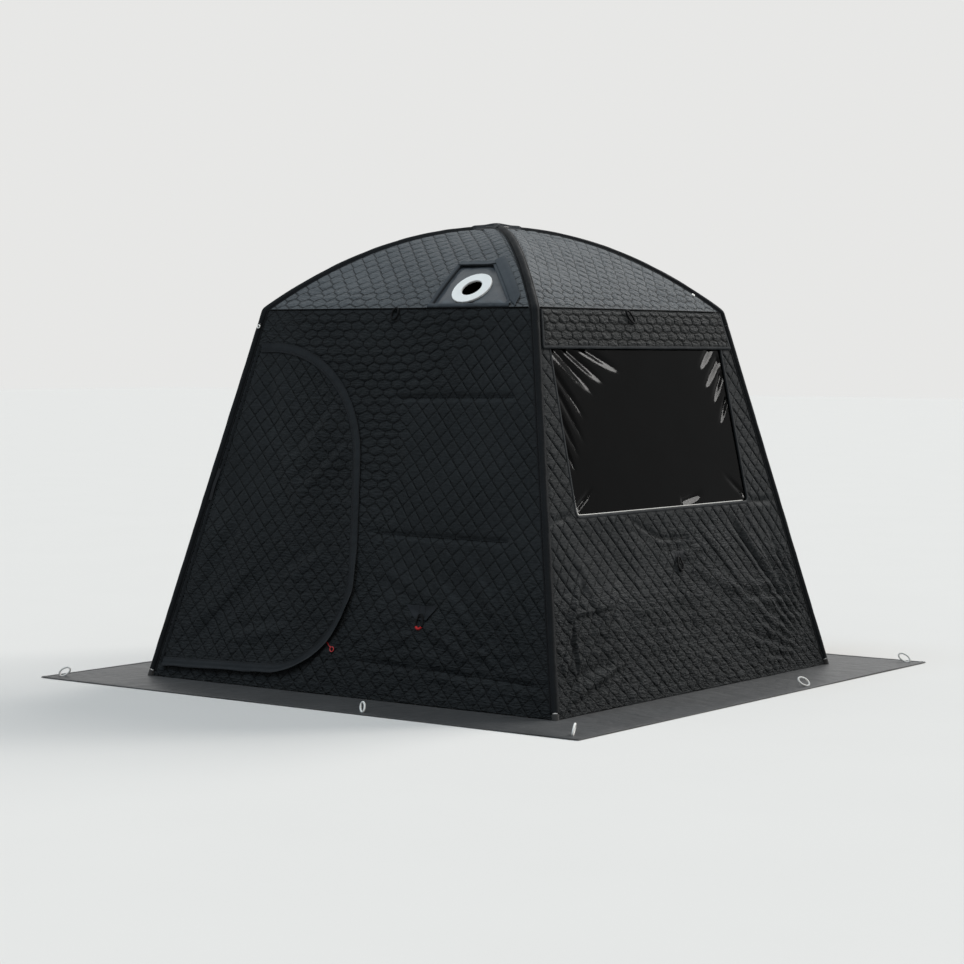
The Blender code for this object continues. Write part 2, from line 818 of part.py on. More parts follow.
def upper_elbow_mesh():
    """Moulded socket on the rib's end, with two ears for the elbow pin."""
    half = TONGUE_HALF + SEAT_GAP + EAR_THICKNESS
    root = along(EAVE_POINT, RIB_WAY, EAR_ROOT)
    start = ridge_point(EAVE_REACH + RIB_WAY.x * SOCKET_START)
    end = ridge_point(EAVE_REACH + RIB_WAY.x * (SOCKET_START + SOCKET_LENGTH))
    rib_way = (end - start).normalized()
    body = link_plate("ears", PIVOT_POINT, root, EAR_RADIUS, half)
    socket = cylinder("socket", start, end, SOCKET_RADIUS)
    mesh = combine(body, [socket], "UNION")
    floor = along(start, rib_way, PIVOT_OFFSET / 2 - RUN_GAP)
    bore = cylinder("bore", floor, along(end, rib_way, OVERRUN), RIB_RADIUS + RIB_BEND_ROOM + SEAT_GAP)
    gap_reach = EAR_RADIUS + EAR_SLOT_ROOM
    slot = lateral_bar("slot", PIVOT_POINT, gap_reach, TONGUE_HALF + SEAT_GAP)
    hole = lateral_bar("pin_hole", PIVOT_POINT, PIN_RADIUS + SEAT_GAP, half + OVERRUN)
    return combine(shape_object("upper_elbow", mesh), [slot, bore, hole], "DIFFERENCE")


def lower_elbow_mesh():
    """Moulded plug in the leg's top, with a tongue on the elbow pin."""
    root = along(EAVE_POINT, LEG_WAY, COLLAR_START + COLLAR_LENGTH / 4)
    collar_end = along(EAVE_POINT, LEG_WAY, COLLAR_START + COLLAR_LENGTH)
    tip = along(collar_end, LEG_WAY, SPIGOT_LENGTH)
    tongue = link_plate("tongue", PIVOT_POINT, root, EAR_RADIUS, TONGUE_HALF)
    collar = cylinder("collar", along(EAVE_POINT, LEG_WAY, COLLAR_START), collar_end, LEG_RADIUS)
    inner = LEG_RADIUS - LEG_WALL - SEAT_GAP
    spigot = cylinder("spigot", along(collar_end, LEG_WAY, -COLLAR_LENGTH / 2), tip, inner)
    mesh = combine(tongue, [collar, spigot], "UNION")
    hole = lateral_bar("pin_hole", PIVOT_POINT, PIN_RADIUS + RUN_GAP, LEG_RADIUS)
    return combine(shape_object("lower_elbow", mesh), [hole], "DIFFERENCE")


def pin_mesh():
    """Elbow pin with a flat head at each end."""
    half = TONGUE_HALF + 2 * SEAT_GAP + EAR_THICKNESS
    bar = lateral_bar("pin", PIVOT_POINT, PIN_RADIUS, half + PIN_HEAD / 2)
    heads = []
    for sign in (-1, 1):
        near = PIVOT_POINT + Vector((0, sign * half, 0))
        far = PIVOT_POINT + Vector((0, sign * (half + PIN_HEAD), 0))
        heads.append(cylinder("head", near, far, PIN_HEAD_RADIUS))
    return combine(bar, heads, "UNION")


def leg_mesh():
    start = along(EAVE_POINT, LEG_WAY, LEG_TOP)
    end = along(EAVE_POINT, LEG_WAY, LEG_BOTTOM)
    return settle(tube("leg", [start, end], LEG_RADIUS, LEG_WALL, LEG_RESOLUTION))


def foot_mesh():
    """Foot cap with a plug in the leg, cut level where it stands on the skirt."""
    start = along(EAVE_POINT, LEG_WAY, LEG_BOTTOM + SEAT_GAP)
    pad = cylinder("foot", start, along(start, LEG_WAY, FOOT_LENGTH + FOOT_RADIUS), FOOT_RADIUS)
    inner = LEG_RADIUS - LEG_WALL - SEAT_GAP
    plug_top = along(start, LEG_WAY, -FOOT_PLUG)
    plug = cylinder("plug", plug_top, along(start, LEG_WAY, FOOT_LENGTH / 2), inner)
    mesh = combine(pad, [plug], "UNION")
    reach = BASE_REACH + SKIRT_SIDE
    side = FOOT_RADIUS + OVERRUN
    ground = box("ground", (0, -side, -OVERRUN - FOOT_LENGTH), (reach, side, FOOT_BASE))
    return combine(shape_object("foot", mesh), [ground], "DIFFERENCE")


def ridge_sleeve_mesh():
    """Fabric sleeve along a rib, with a hood over the outside of the elbow."""
    points = []
    for step in range(RIB_STEPS + 1):
        reach = SLEEVE_TOP_REACH + (EAVE_REACH - SLEEVE_TOP_REACH) * step / RIB_STEPS
        points.append(ridge_point(reach))
    points.append(along(EAVE_POINT, LEG_WAY, HOOD_LENGTH))
    sleeve = tube("ridge_sleeve", points, SLEEVE_RADIUS, SLEEVE_WALL)
    inward = (LEG_WAY + RIB_WAY).normalized() * HOOD_OPEN_LENGTH
    rib_side = along(EAVE_POINT, RIB_WAY, HOOD_OPEN_LENGTH)
    leg_side = along(EAVE_POINT, LEG_WAY, HOOD_OPEN_LENGTH)
    outline = [EAVE_POINT, rib_side, rib_side + inward, leg_side + inward, leg_side]
    flat_points = [(spot.x, spot.z) for spot in outline]
    upright = Matrix.Rotation(QUARTER, 4, "X")
    opening = shape_object(
        "hood_opening", settle(flat("hood_opening", [flat_points], 2 * (SLEEVE_RADIUS + OVERRUN), upright))
    )
    return combine(sleeve, [opening], "DIFFERENCE")


def corner_sleeve_mesh():
    start = along(EAVE_POINT, LEG_WAY, HOOD_LENGTH + SEAT_GAP)
    end = along(BASE_POINT, LEG_WAY, SLEEVE_FOOT_HEIGHT / LEG_WAY.z)
    return settle(tube("corner_sleeve", [start, end], SLEEVE_RADIUS, SLEEVE_WALL))


def make_frame(hub, materials):
    """Four ribs hinged on the hub's wire ring, each with its leg hinged at the elbow."""
    rib_pieces = {
        "rib": (rib_mesh(), materials["alloy"]),
        "upper_elbow": (upper_elbow_mesh(), materials["plastic"]),
        "elbow_pin": (pin_mesh(), materials["steel"]),
        "ridge_sleeve": (ridge_sleeve_mesh(), materials["cloth"]),
    }
    leg_pieces = {
        "leg": (leg_mesh(), materials["alloy"]),
        "lower_elbow": (lower_elbow_mesh(), materials["plastic"]),
        "foot": (foot_mesh(), materials["rubber"]),
        "corner_sleeve": (corner_sleeve_mesh(), materials["cloth"]),
    }
    for pieces, point in ((rib_pieces, HINGE_POINT), (leg_pieces, PIVOT_POINT)):
        for mesh, _ in pieces.values():
            mesh.transform(Matrix.Translation(-point))
            smooth(mesh)
    for corner in CORNERS:
        turn = corner_turn(corner)
        rib_pivot = pivot("rib_hinge_" + corner, turn @ Matrix.Translation(HINGE_POINT), hub)
        leg_pivot = pivot("leg_hinge_" + corner, turn @ Matrix.Translation(PIVOT_POINT), rib_pivot)
        for pieces, carrier in ((rib_pieces, rib_pivot), (leg_pieces, leg_pivot)):
            for name, (mesh, made_of) in pieces.items():
                place(name + "_" + corner, mesh, made_of, parent=carrier)


def pivot_on_wall(name, side, spot, offset):
    """An empty on a wall's plane, for a piece that moves on the wall."""
    matrix = wall_plane(side, offset) @ Matrix.Translation((spot.x, spot.y, 0))
    return pivot(name, matrix)


def hang(name, mesh, made_of, carrier):
    """Parents a world-space mesh to its pivot, with the piece's origin on the pivot."""
    mesh.transform(carrier.matrix_world.inverted())
    return place(name, mesh, made_of, parent=carrier)


def ring_body(name, radius, wire, steps):
    """A closed ring of round cord about Z."""
    points = []
    for step in range(steps):
        angle = math.tau * step / steps
        points.append(Vector((math.cos(angle), math.sin(angle), 0)) * radius)
    cord = run_curve(name, points, wire, TUBE_RESOLUTION // 2, caps=False)
    cord.data.splines[0].use_cyclic_u = True
    return shape_object(name, settle(cord))


def make_door(quilt, cloth, plastic, red):
    plane = wall_plane("front")
    hinge_at = hinge_line_spot(DOOR_BOTTOM_LEFT)
    hinge = pivot_on_wall("door_hinge", "front", hinge_at - Vector((HINGE_GAP / 2, 0)), WALL_FACE)
    leaf = settle(flat("door_leaf", [door_outline(0, 0)], WALL_THICKNESS, plane))
    hang("door_leaf", leaf, quilt, hinge)

    zip_band = door_band(SEAT_GAP, ZIP_WIDTH - SEAT_GAP)
    place("door_zip", settle(flat("door_zip", [zip_band], ZIP_THICKNESS, plane)), plastic)

    seam = WALL_FACE + SEAT_GAP + FLAP_THICKNESS / 2
    lift = PULL_THICKNESS + SEAT_GAP
    sewn = flat("sewn_edge", [door_band(-FLAP_ON_LEAF, 0)], FLAP_THICKNESS, wall_plane("front", seam))
    free_band = door_band(-FLAP_FOLD, FLAP_OVER_ZIP)
    free = flat("free_edge", [free_band], FLAP_THICKNESS, wall_plane("front", seam + lift))
    sewn = shape_object("door_storm_flap", settle(sewn))
    free = shape_object("free_edge", settle(free))
    hang("door_storm_flap", combine(sewn, [free], "UNION"), cloth, hinge)
    make_zip_slider(red)


def make_zip_slider(red):
    """Slider in the zip at the door's lower corner, with a pull that reaches out of the flap."""
    middle = ZIP_WIDTH / 2
    corners = grown(door_corners(), (0, middle, middle, middle))
    corner, radius = corners[2]
    centre, start, sweep = corner_arc(corners[1][0], corner, corners[3][0], radius)
    carrier = pivot_on_wall("zip_travel", "front", centre, WALL_FACE)
    turn = Matrix.Rotation(start + sweep / 2, 4, "Z")
    at_slider = carrier.matrix_world @ turn @ Matrix.Translation((radius, 0, 0))
    half_width = middle - RUN_GAP
    floor = ZIP_THICKNESS / 2 + SEAT_GAP - WALL_FACE
    pull_top = SEAT_GAP + PULL_THICKNESS
    half_length = SLIDER_LENGTH / 2
    body = box("zip_slider", (-half_width, -half_length, floor), (half_width, half_length, pull_top))
    ring_low = PULL_REACH - PULL_RING_RADIUS
    strap = box("pull_strap", (0, -PULL_WIDTH / 2, SEAT_GAP), (ring_low, PULL_WIDTH / 2, pull_top))
    for piece in (body, strap):
        piece.matrix_world = at_slider @ piece.matrix_world
    ring = ring_body("pull_ring", PULL_RING_RADIUS, PULL_RING_WIRE, SMALL_SIDES)
    ring.matrix_world = at_slider @ Matrix.Translation((PULL_REACH, 0, SEAT_GAP + PULL_RING_WIRE))
    hang("zip_slider", combine(body, [strap, ring], "UNION"), red, carrier)


def make_window(clear, quilt):
    offset = -WALL_FACE - SEAT_GAP - PANE_THICKNESS / 2
    pane = flat("window_pane", [window_corners(PANE_LAP)], PANE_THICKNESS, wall_plane("right", offset))
    place("window_pane", settle(pane), clear)

    offset = WALL_FACE + SEAT_GAP + VALANCE_THICKNESS / 2
    top = SLANT - VALANCE_TOP
    low = top - VALANCE_DEPTH
    edge = WALL_EDGE + VALANCE_EDGE
    outline = [
        (-wall_half(low) + edge, low),
        (wall_half(low) - edge, low),
        (wall_half(top) - edge, top),
        (-wall_half(top) + edge, top),
    ]
    hinge = pivot_on_wall("valance_hinge", "right", Vector((0, top)), offset)
    valance = settle(flat("window_valance", [outline], VALANCE_THICKNESS, wall_plane("right", offset)))
    hang("window_valance", valance, quilt, hinge)


def make_wall_loop(name, side, across, height, webbing):
    """Pull loop: a cord ring that hangs from a sewn patch."""
    spot = wall_spot(across, height)
    top = LOOP_PATCH_TOP / 2
    bottom = LOOP_PATCH_BOTTOM / 2
    depth = LOOP_PATCH_DEPTH
    outline = [(-bottom, 0), (bottom, 0), (top, depth), (-top, depth)]
    shift = Matrix.Translation((spot.x, spot.y, 0))
    offset = WALL_FACE + SEAT_GAP
    plane = wall_plane(side, offset) @ shift
    lift = Matrix.Translation((0, 0, LOOP_PATCH_THICKNESS / 2))
    patch = flat(name, [outline], LOOP_PATCH_THICKNESS, plane @ lift)
    ring = ring_body(name + "_ring", LOOP_RADIUS, LOOP_CORD, SMALL_SIDES)
    hang_down = Vector((0, LOOP_CORD - LOOP_RADIUS, LOOP_PATCH_THICKNESS + LOOP_CORD / 2))
    ring.matrix_world = plane @ Matrix.Translation(hang_down)
    body = combine(shape_object(name, settle(patch)), [ring], "UNION")
    place(name, smooth(body), webbing)


def make_tie_strap(webbing):
    """Strap beside the left corner that ties the rolled door back."""
    low = STRAP_BOTTOM * SLANT_PER_HEIGHT
    high = STRAP_TOP * SLANT_PER_HEIGHT
    inset = WALL_EDGE + (DOOR_STRIP - STRAP_WIDTH) / 3
    outline = []
    for up, shift in ((low, 0), (low, STRAP_WIDTH), (high, STRAP_WIDTH), (high, 0)):
        outline.append((inset + shift - wall_half(up), up))
    offset = WALL_FACE + SEAT_GAP + STRAP_THICKNESS / 2
    strap = flat("tie_strap", [outline], STRAP_THICKNESS, wall_plane("front", offset))
    place("tie_strap", settle(strap), webbing)


def build():
    global PARTS, CUTTERS
    clear_scene()
    PARTS = make_collection("sauna_tent")
    CUTTERS = make_collection("cutters")
    quilt = material("quilted_fabric", (0.035, 0.038, 0.042), 0.85)
    cloth = material("plain_fabric", (0.060, 0.061, 0.064), 0.80)
    webbing = material("webbing", (0.020, 0.020, 0.022), 0.80)
    heat_cloth = material("heat_cloth", (0.075, 0.073, 0.070), 0.75)
    silicone = material("silicone", (0.800, 0.790, 0.760), 0.50)
    clear = material("clear_vinyl", (0.010, 0.010, 0.012), 0.12)
    red = material("red_pull", (0.400, 0.030, 0.020), 0.45)
    materials = {
        "alloy": material("alloy", (0.560, 0.570, 0.580), 0.35, 1.0),
        "plastic": material("moulded_plastic", (0.025, 0.025, 0.027), 0.50),
        "steel": material("steel", (0.600, 0.600, 0.610), 0.30, 1.0),
        "rubber": material("rubber", (0.020, 0.020, 0.020), 0.80),
        "cloth": cloth,
    }
    hub = make_hub(materials["plastic"], materials["steel"])
    make_frame(hub, materials)
    make_skirts(cloth)
    make_walls(quilt)
    make_roof(quilt)
    make_flue(heat_cloth, silicone, cloth)
    make_apex_cap(cloth)
    make_door(quilt, cloth, materials["plastic"], red)
    make_window(clear, quilt)
    make_wall_loop("front_pull_loop", "front", FRONT_LOOP_X, FRONT_LOOP_HEIGHT, webbing)
    make_wall_loop("right_pull_loop", "right", RIGHT_LOOP_X, RIGHT_LOOP_HEIGHT, webbing)
    make_tie_strap(webbing)
    bpy.context.view_layer.update()


build()
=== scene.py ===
import math

import bmesh
import bpy
import numpy as np
from mathutils import Matrix, Vector


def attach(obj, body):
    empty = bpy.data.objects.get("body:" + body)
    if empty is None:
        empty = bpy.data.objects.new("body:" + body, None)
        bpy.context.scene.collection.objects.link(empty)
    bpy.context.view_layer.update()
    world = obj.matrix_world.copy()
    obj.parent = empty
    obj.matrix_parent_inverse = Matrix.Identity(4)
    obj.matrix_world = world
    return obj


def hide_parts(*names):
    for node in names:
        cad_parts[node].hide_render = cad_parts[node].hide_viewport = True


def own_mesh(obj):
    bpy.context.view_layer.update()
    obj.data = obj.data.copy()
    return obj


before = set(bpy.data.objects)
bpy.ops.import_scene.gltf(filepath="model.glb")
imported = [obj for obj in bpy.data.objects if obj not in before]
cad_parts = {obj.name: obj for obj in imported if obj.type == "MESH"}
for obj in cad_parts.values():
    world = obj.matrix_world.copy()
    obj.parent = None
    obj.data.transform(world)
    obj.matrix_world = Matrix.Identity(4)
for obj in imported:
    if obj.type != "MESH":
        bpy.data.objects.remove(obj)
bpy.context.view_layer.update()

# Camera. A long lens at chest height looks at the corner where the door's wall and the window's
# wall meet.
AZIMUTH = math.radians(36.585)
ELEVATION = math.radians(3.04)
ROLL = math.radians(0.145)
EYE = Vector((6.088, -8.301, 1.35))
backward = Vector((
    math.sin(AZIMUTH) * math.cos(ELEVATION),
    -math.cos(AZIMUTH) * math.cos(ELEVATION),
    math.sin(ELEVATION),
))
rightward = Vector((math.cos(AZIMUTH), math.sin(AZIMUTH), 0))
upward = backward.cross(rightward)
camera_data = bpy.data.cameras.new("camera")
camera_data.lens = 90.65
camera_data.sensor_width = 36
camera = bpy.data.objects.new("camera", camera_data)
turn = Matrix((rightward, upward, backward)).transposed().to_4x4()
camera.matrix_world = Matrix.Translation(EYE) @ turn @ Matrix.Rotation(ROLL, 4, "Z")
bpy.context.scene.collection.objects.link(camera)
bpy.context.scene.camera = camera

# Studio light. A wide key stands high in front, a cool light stands over the door's side, one
# behind the tent grazes the roof and the skirts, and one far off behind the window's side rakes
# the cloth there and glints in the pane.
bpy.context.scene.view_settings.view_transform = "Standard"


def far_light(name, toward, strength, softness, color):
    """A soft distant light that shines from a direction."""
    data = bpy.data.lights.new(name, "SUN")
    data.energy = strength
    data.angle = math.radians(softness)
    data.color = color
    light = bpy.data.objects.new(name, data)
    light.rotation_euler = Vector(toward).to_track_quat("Z", "Y").to_euler()
    bpy.context.scene.collection.objects.link(light)


far_light("key", (0.40, -0.28, 0.87), 1.25, 18, (1.0, 0.985, 0.95))
far_light("behind", (0.10, 0.78, 0.62), 1.4, 30, (1.0, 0.985, 0.96))
far_light("behind_window", (0.466, 0.794, 0.391), 1.1, 17, (1.0, 0.985, 0.96))
far_light("over_door", (-0.24, -0.48, 0.84), 0.90, 26, (0.60, 0.82, 1.0))

world = bpy.data.worlds.new("studio")
bpy.context.scene.world = world
world.use_nodes = True


def node(tree, kind, settings=None, sockets=None, output=0):
    """Adds a shader node: its settings first, then the values or links of its sockets."""
    made = tree.nodes.new(kind)
    for name, value in (settings or {}).items():
        setattr(made, name, value)
    for key, value in (sockets or {}).items():
        if isinstance(value, Wire):
            tree.links.new(value.socket, made.inputs[key])
        else:
            made.inputs[key].default_value = value
    return Wire(tree, made.outputs[output])


class Wire:
    """A shader socket that takes part in sums."""

    def __init__(self, tree, socket):
        self.tree = tree
        self.socket = socket

    def math(self, operation, first, second=0.0):
        return node(self.tree, "ShaderNodeMath", {"operation": operation}, {0: first, 1: second})

    def __add__(self, other):
        return self.math("ADD", self, other)

    def __radd__(self, other):
        return self.math("ADD", other, self)

    def __sub__(self, other):
        return self.math("SUBTRACT", self, other)

    def __rsub__(self, other):
        return self.math("SUBTRACT", other, self)

    def __mul__(self, other):
        return self.math("MULTIPLY", self, other)

    def __rmul__(self, other):
        return self.math("MULTIPLY", other, self)

    def __truediv__(self, other):
        return self.math("DIVIDE", self, other)

    def size(self):
        return self.math("ABSOLUTE", self)

    def from_middle(self):
        """Distance from the middle of the cell that a running count is in, 0 to a half."""
        return (self.math("FRACT", self) - 0.5).size()

    def least(self, other):
        return self.math("MINIMUM", self, other)

    def most(self, other):
        return self.math("MAXIMUM", self, other)

    def below(self, edge, soft):
        """1 where the value is under an edge, 0 well above it."""
        sockets = {0: self, 1: edge, 2: edge + soft, 3: 1.0, 4: 0.0}
        return node(self.tree, "ShaderNodeMapRange", {"interpolation_type": "SMOOTHSTEP"}, sockets)

    def spread(self, low, high):
        """Maps 0 to 1 onto low to high."""
        return node(self.tree, "ShaderNodeMapRange", {}, {0: self, 1: 0.0, 2: 1.0, 3: low, 4: high})


def shown_share(tree):
    """1 for what the camera sees, also in glossy and clear surfaces, and 0 for any other light."""
    camera_ray = node(tree, "ShaderNodeLightPath")
    kinds = camera_ray.socket.node.outputs
    return camera_ray.most(Wire(tree, kinds["Is Glossy Ray"])).most(Wire(tree, kinds["Is Transmission Ray"]))


tree = world.node_tree
tree.nodes.clear()
ambient = node(tree, "ShaderNodeBackground", {}, {0: (0.88, 0.94, 1.0, 1), 1: 0.22})
backdrop = node(tree, "ShaderNodeBackground", {}, {0: (0.80, 0.80, 0.79, 1), 1: 1.0})
mixed = node(tree, "ShaderNodeMixShader", {}, {0: shown_share(tree), 1: ambient, 2: backdrop})
node_out = tree.nodes.new("ShaderNodeOutputWorld")
tree.links.new(mixed.socket, node_out.inputs["Surface"])


# Floor. A plain floor, which isn't part of the tent, runs far past the picture. It shows pale, and
# throws back less light than it shows.
def finish(name, roughness=0.6, metallic=0.0, **shader_values):
    """A new material with its shader's even values set. Returns it with its tree and shader."""
    made = bpy.data.materials.new(name)
    made.use_nodes = True
    shader = made.node_tree.nodes["Principled BSDF"]
    shader.inputs["Roughness"].default_value = roughness
    shader.inputs["Metallic"].default_value = metallic
    for key, value in shader_values.items():
        shader.inputs[key.replace("_", " ")].default_value = value
    return made, made.node_tree, shader


def feed(shader, name, wire):
    shader.id_data.links.new(wire.socket, shader.inputs[name])


def tinted(tree, share, first, second):
    """A colour between two, by a share."""
    colors = [c if isinstance(c, Wire) else (*c, 1) for c in (first, second)]
    sockets = {0: share, 6: colors[0], 7: colors[1]}
    return node(tree, "ShaderNodeMix", {"data_type": "RGBA"}, sockets, output=2)


def noise(tree, place, scale, detail=2.0, roughness=0.5):
    sockets = {"Vector": place, "Scale": scale, "Detail": detail, "Roughness": roughness}
    return node(tree, "ShaderNodeTexNoise", {}, sockets)


def bumped(tree, height, strength, distance, under=None):
    """A normal that follows a height, over another normal if there is one."""
    sockets = {"Height": height, "Strength": strength, "Distance": distance}
    if under is not None:
        sockets["Normal"] = under
    return node(tree, "ShaderNodeBump", {}, sockets)


def solid_place(tree):
    """The place on an object, in metres."""
    return node(tree, "ShaderNodeTexCoord", output=3)


pale_floor, tree, shader = finish("pale_floor", roughness=0.9)
shader.inputs["Specular IOR Level"].default_value = 0.1
mottle = noise(tree, solid_place(tree), 1.5, 4.0)
pale = tinted(tree, mottle, (0.700, 0.680, 0.655), (0.718, 0.698, 0.672))
feed(shader, "Base Color", tinted(tree, shown_share(tree), (0.34, 0.34, 0.335), pale))
FLOOR_REACH = 60
floor_mesh = bpy.data.meshes.new("floor")
floor_mesh.from_pydata(
    [(x * FLOOR_REACH, y * FLOOR_REACH, -0.0005) for x, y in ((-1, -1), (1, -1), (1, 1), (-1, 1))],
    [],
    [(0, 1, 2, 3)],
)
floor_mesh.materials.append(pale_floor)
floor = bpy.data.objects.new("floor", floor_mesh)
bpy.context.scene.collection.objects.link(floor)

# Skirts. Four strips of plain coated cloth lie on the ground round the tent, sewn together along
# a mitre at each corner, with a turned hem on the outer edge. Each side of the tent is drawn as
# the front one and turned about the tent's axis.
SIDES = ("front", "right", "back", "left")
SLEEVE_RADIUS = 0.015
BASE_HALF = (2.08 - math.sqrt(2) * SLEEVE_RADIUS) / 2
SKIRT_OUTER = 1.35
SKIRT_INNER = BASE_HALF - 0.008


def on_side(side, x, y, z):
    """Front-side places turned onto another side."""
    angle = math.pi / 2 * SIDES.index(side)
    cos, sin = math.cos(angle), math.sin(angle)
    x, y, z = np.broadcast_arrays(x, y, z)
    return np.stack([x * cos - y * sin, x * sin + y * cos, z], axis=-1)


def unevenness(across, up, wide, tall, seed):
    """Smooth noise from -1 to 1, with features about wide by tall."""
    table = np.random.default_rng(seed).random((61, 61))
    x = np.asarray(across) / wide + 1000
    y = np.asarray(up) / tall + 1000
    column, row = np.floor(x).astype(int), np.floor(y).astype(int)
    share_x, share_y = x - column, y - row
    share_x = share_x * share_x * (3 - 2 * share_x)
    share_y = share_y * share_y * (3 - 2 * share_y)
    here, there = column % 61, (column + 1) % 61
    low = table[row % 61, here] * (1 - share_x) + table[row % 61, there] * share_x
    high = table[(row + 1) % 61, here] * (1 - share_x) + table[(row + 1) % 61, there] * share_x
    return 2 * (low * (1 - share_y) + high * share_y) - 1


def layered(across, up, *layers):
    """Adds up unevenness, each layer an amount, a width, a height and a seed."""
    return sum(amount * unevenness(across, up, wide, tall, seed) for amount, wide, tall, seed in layers)


def mend(piece, gap=0.0, close_ends=False):
    """Turns the faces outward, after joining points closer than a gap and closing open ends."""
    bm = bmesh.new()
    bm.from_mesh(piece.data)
    if gap:
        bmesh.ops.remove_doubles(bm, verts=bm.verts, dist=gap)
    if close_ends:
        bmesh.ops.holes_fill(bm, edges=[edge for edge in bm.edges if edge.is_boundary])
    bmesh.ops.recalc_face_normals(bm, faces=bm.faces)
    bm.to_mesh(piece.data)
    bm.free()


def cloth_piece(name, points, faces, surface, made_of, thickness=0.0, slack=None):
    """A mesh with its surface coordinates in metres, made a closed sheet if it has a thickness."""
    mesh = bpy.data.meshes.new(name)
    mesh.from_pydata(np.asarray(points, float).reshape(-1, 3).tolist(), [], [list(f) for f in faces])
    layer = mesh.uv_layers.new(name="surface")
    corners = np.zeros(len(mesh.loops), int)
    mesh.loops.foreach_get("vertex_index", corners)
    layer.data.foreach_set("uv", np.asarray(surface, np.float32).reshape(-1, 2)[corners].ravel())
    if slack is not None:
        layer = mesh.uv_layers.new(name="slack")
        layer.data.foreach_set("uv", np.stack(slack, 1).astype(np.float32)[corners].ravel())
    mesh.materials.append(made_of)
    piece = bpy.data.objects.new(name, mesh)
    bpy.context.scene.collection.objects.link(piece)
    if thickness:
        below = Vector((0, 0, -3))
        if sum(face.area * face.normal.dot(face.center - below) for face in mesh.polygons) < 0:
            mesh.flip_normals()
        shell = piece.modifiers.new("thickness", "SOLIDIFY")
        shell.thickness = thickness
        shell.offset = -1
        bpy.context.view_layer.update()
        evaluated = piece.evaluated_get(bpy.context.evaluated_depsgraph_get())
        closed = bpy.data.meshes.new_from_object(evaluated)
        piece.modifiers.clear()
        piece.data = closed
    else:
        mend(piece)
    piece.data.shade_smooth()
    piece.data.set_sharp_from_angle(angle=math.radians(60))
    return piece


def grid_faces(rows, columns, closed=False):
    """Faces of a grid of points, row by row, joined round if closed."""
    faces = []
    for r in range(rows if closed else rows - 1):
        after = (r + 1) % rows
        for c in range(columns - 1):
            here, there = r * columns + c, after * columns + c
            faces.append((here, here + 1, there + 1, there))
    return faces


def plain_weave(name, dark, light, crumple, sheen=0.01, shine=0.08, gloss=(0.52, 0.74)):
    """Coated plain cloth: a fine weave, soft creases and a slightly uneven colour."""
    made, tree, shader = finish(name, Sheen_Weight=sheen, Sheen_Roughness=0.45, Specular_IOR_Level=shine)
    place = solid_place(tree)
    wide = noise(tree, place, 3.0, 4.0, 0.55)
    small = noise(tree, place, 26.0, 3.0, 0.6)
    yarn = noise(tree, place, 1300.0, 1.0)
    color = tinted(tree, wide.spread(-0.5, 1.5), dark, light)
    color = tinted(tree, yarn.spread(-0.1, 0.4), color, [c * 1.6 for c in light])
    feed(shader, "Base Color", color)
    feed(shader, "Roughness", small.spread(*gloss))
    creased = bumped(tree, small, crumple, 0.003)
    feed(shader, "Normal", bumped(tree, yarn, 0.2, 0.0004, creased))
    return made


skirt_cloth = plain_weave("skirt_cloth", (0.0080, 0.0092, 0.0105), (0.0200, 0.0220, 0.0240), 1.0,
                          sheen=0.02, shine=0.9, gloss=(0.40, 0.60))


def folds_in(piece, side, body="canopy"):
    """The piece's body carries it, and the piece gets a mesh of its own."""
    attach(piece, body)
    axis = (0, 1, 0) if side in ("front", "back") else (1, 0, 0)
    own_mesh(piece)


def fit(piece, side, slot, stands_for=None, body="canopy", held="stretched", **cut):
    """Hides the imported solid that a piece stands for, if any, and hangs the piece on its body."""
    if stands_for:
        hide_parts(stands_for)
    folds_in(piece, side, body)


def skirt_lift(across, out, seed):
    """Height of the cloth over the ground: low waves that end at the wall and the hem."""
    from_wall = np.clip((out - SKIRT_INNER) / 0.06, 0, 1)
    from_hem = np.clip((SKIRT_OUTER - out) / 0.05, 0, 1)
    broad = 0.5 + 0.5 * unevenness(across, out, 0.24, 0.30, seed)
    small = 0.5 + 0.5 * unevenness(across, out, 0.06, 0.10, seed + 9)
    pull = 0.5 + 0.5 * unevenness(across + 0.4 * out, out, 0.035, 0.5, seed + 14)
    waves = 0.0060 * broad**2 + 0.0020 * small + 0.0016 * pull
    return 0.0022 + waves * from_wall * (0.35 + 0.65 * from_hem)


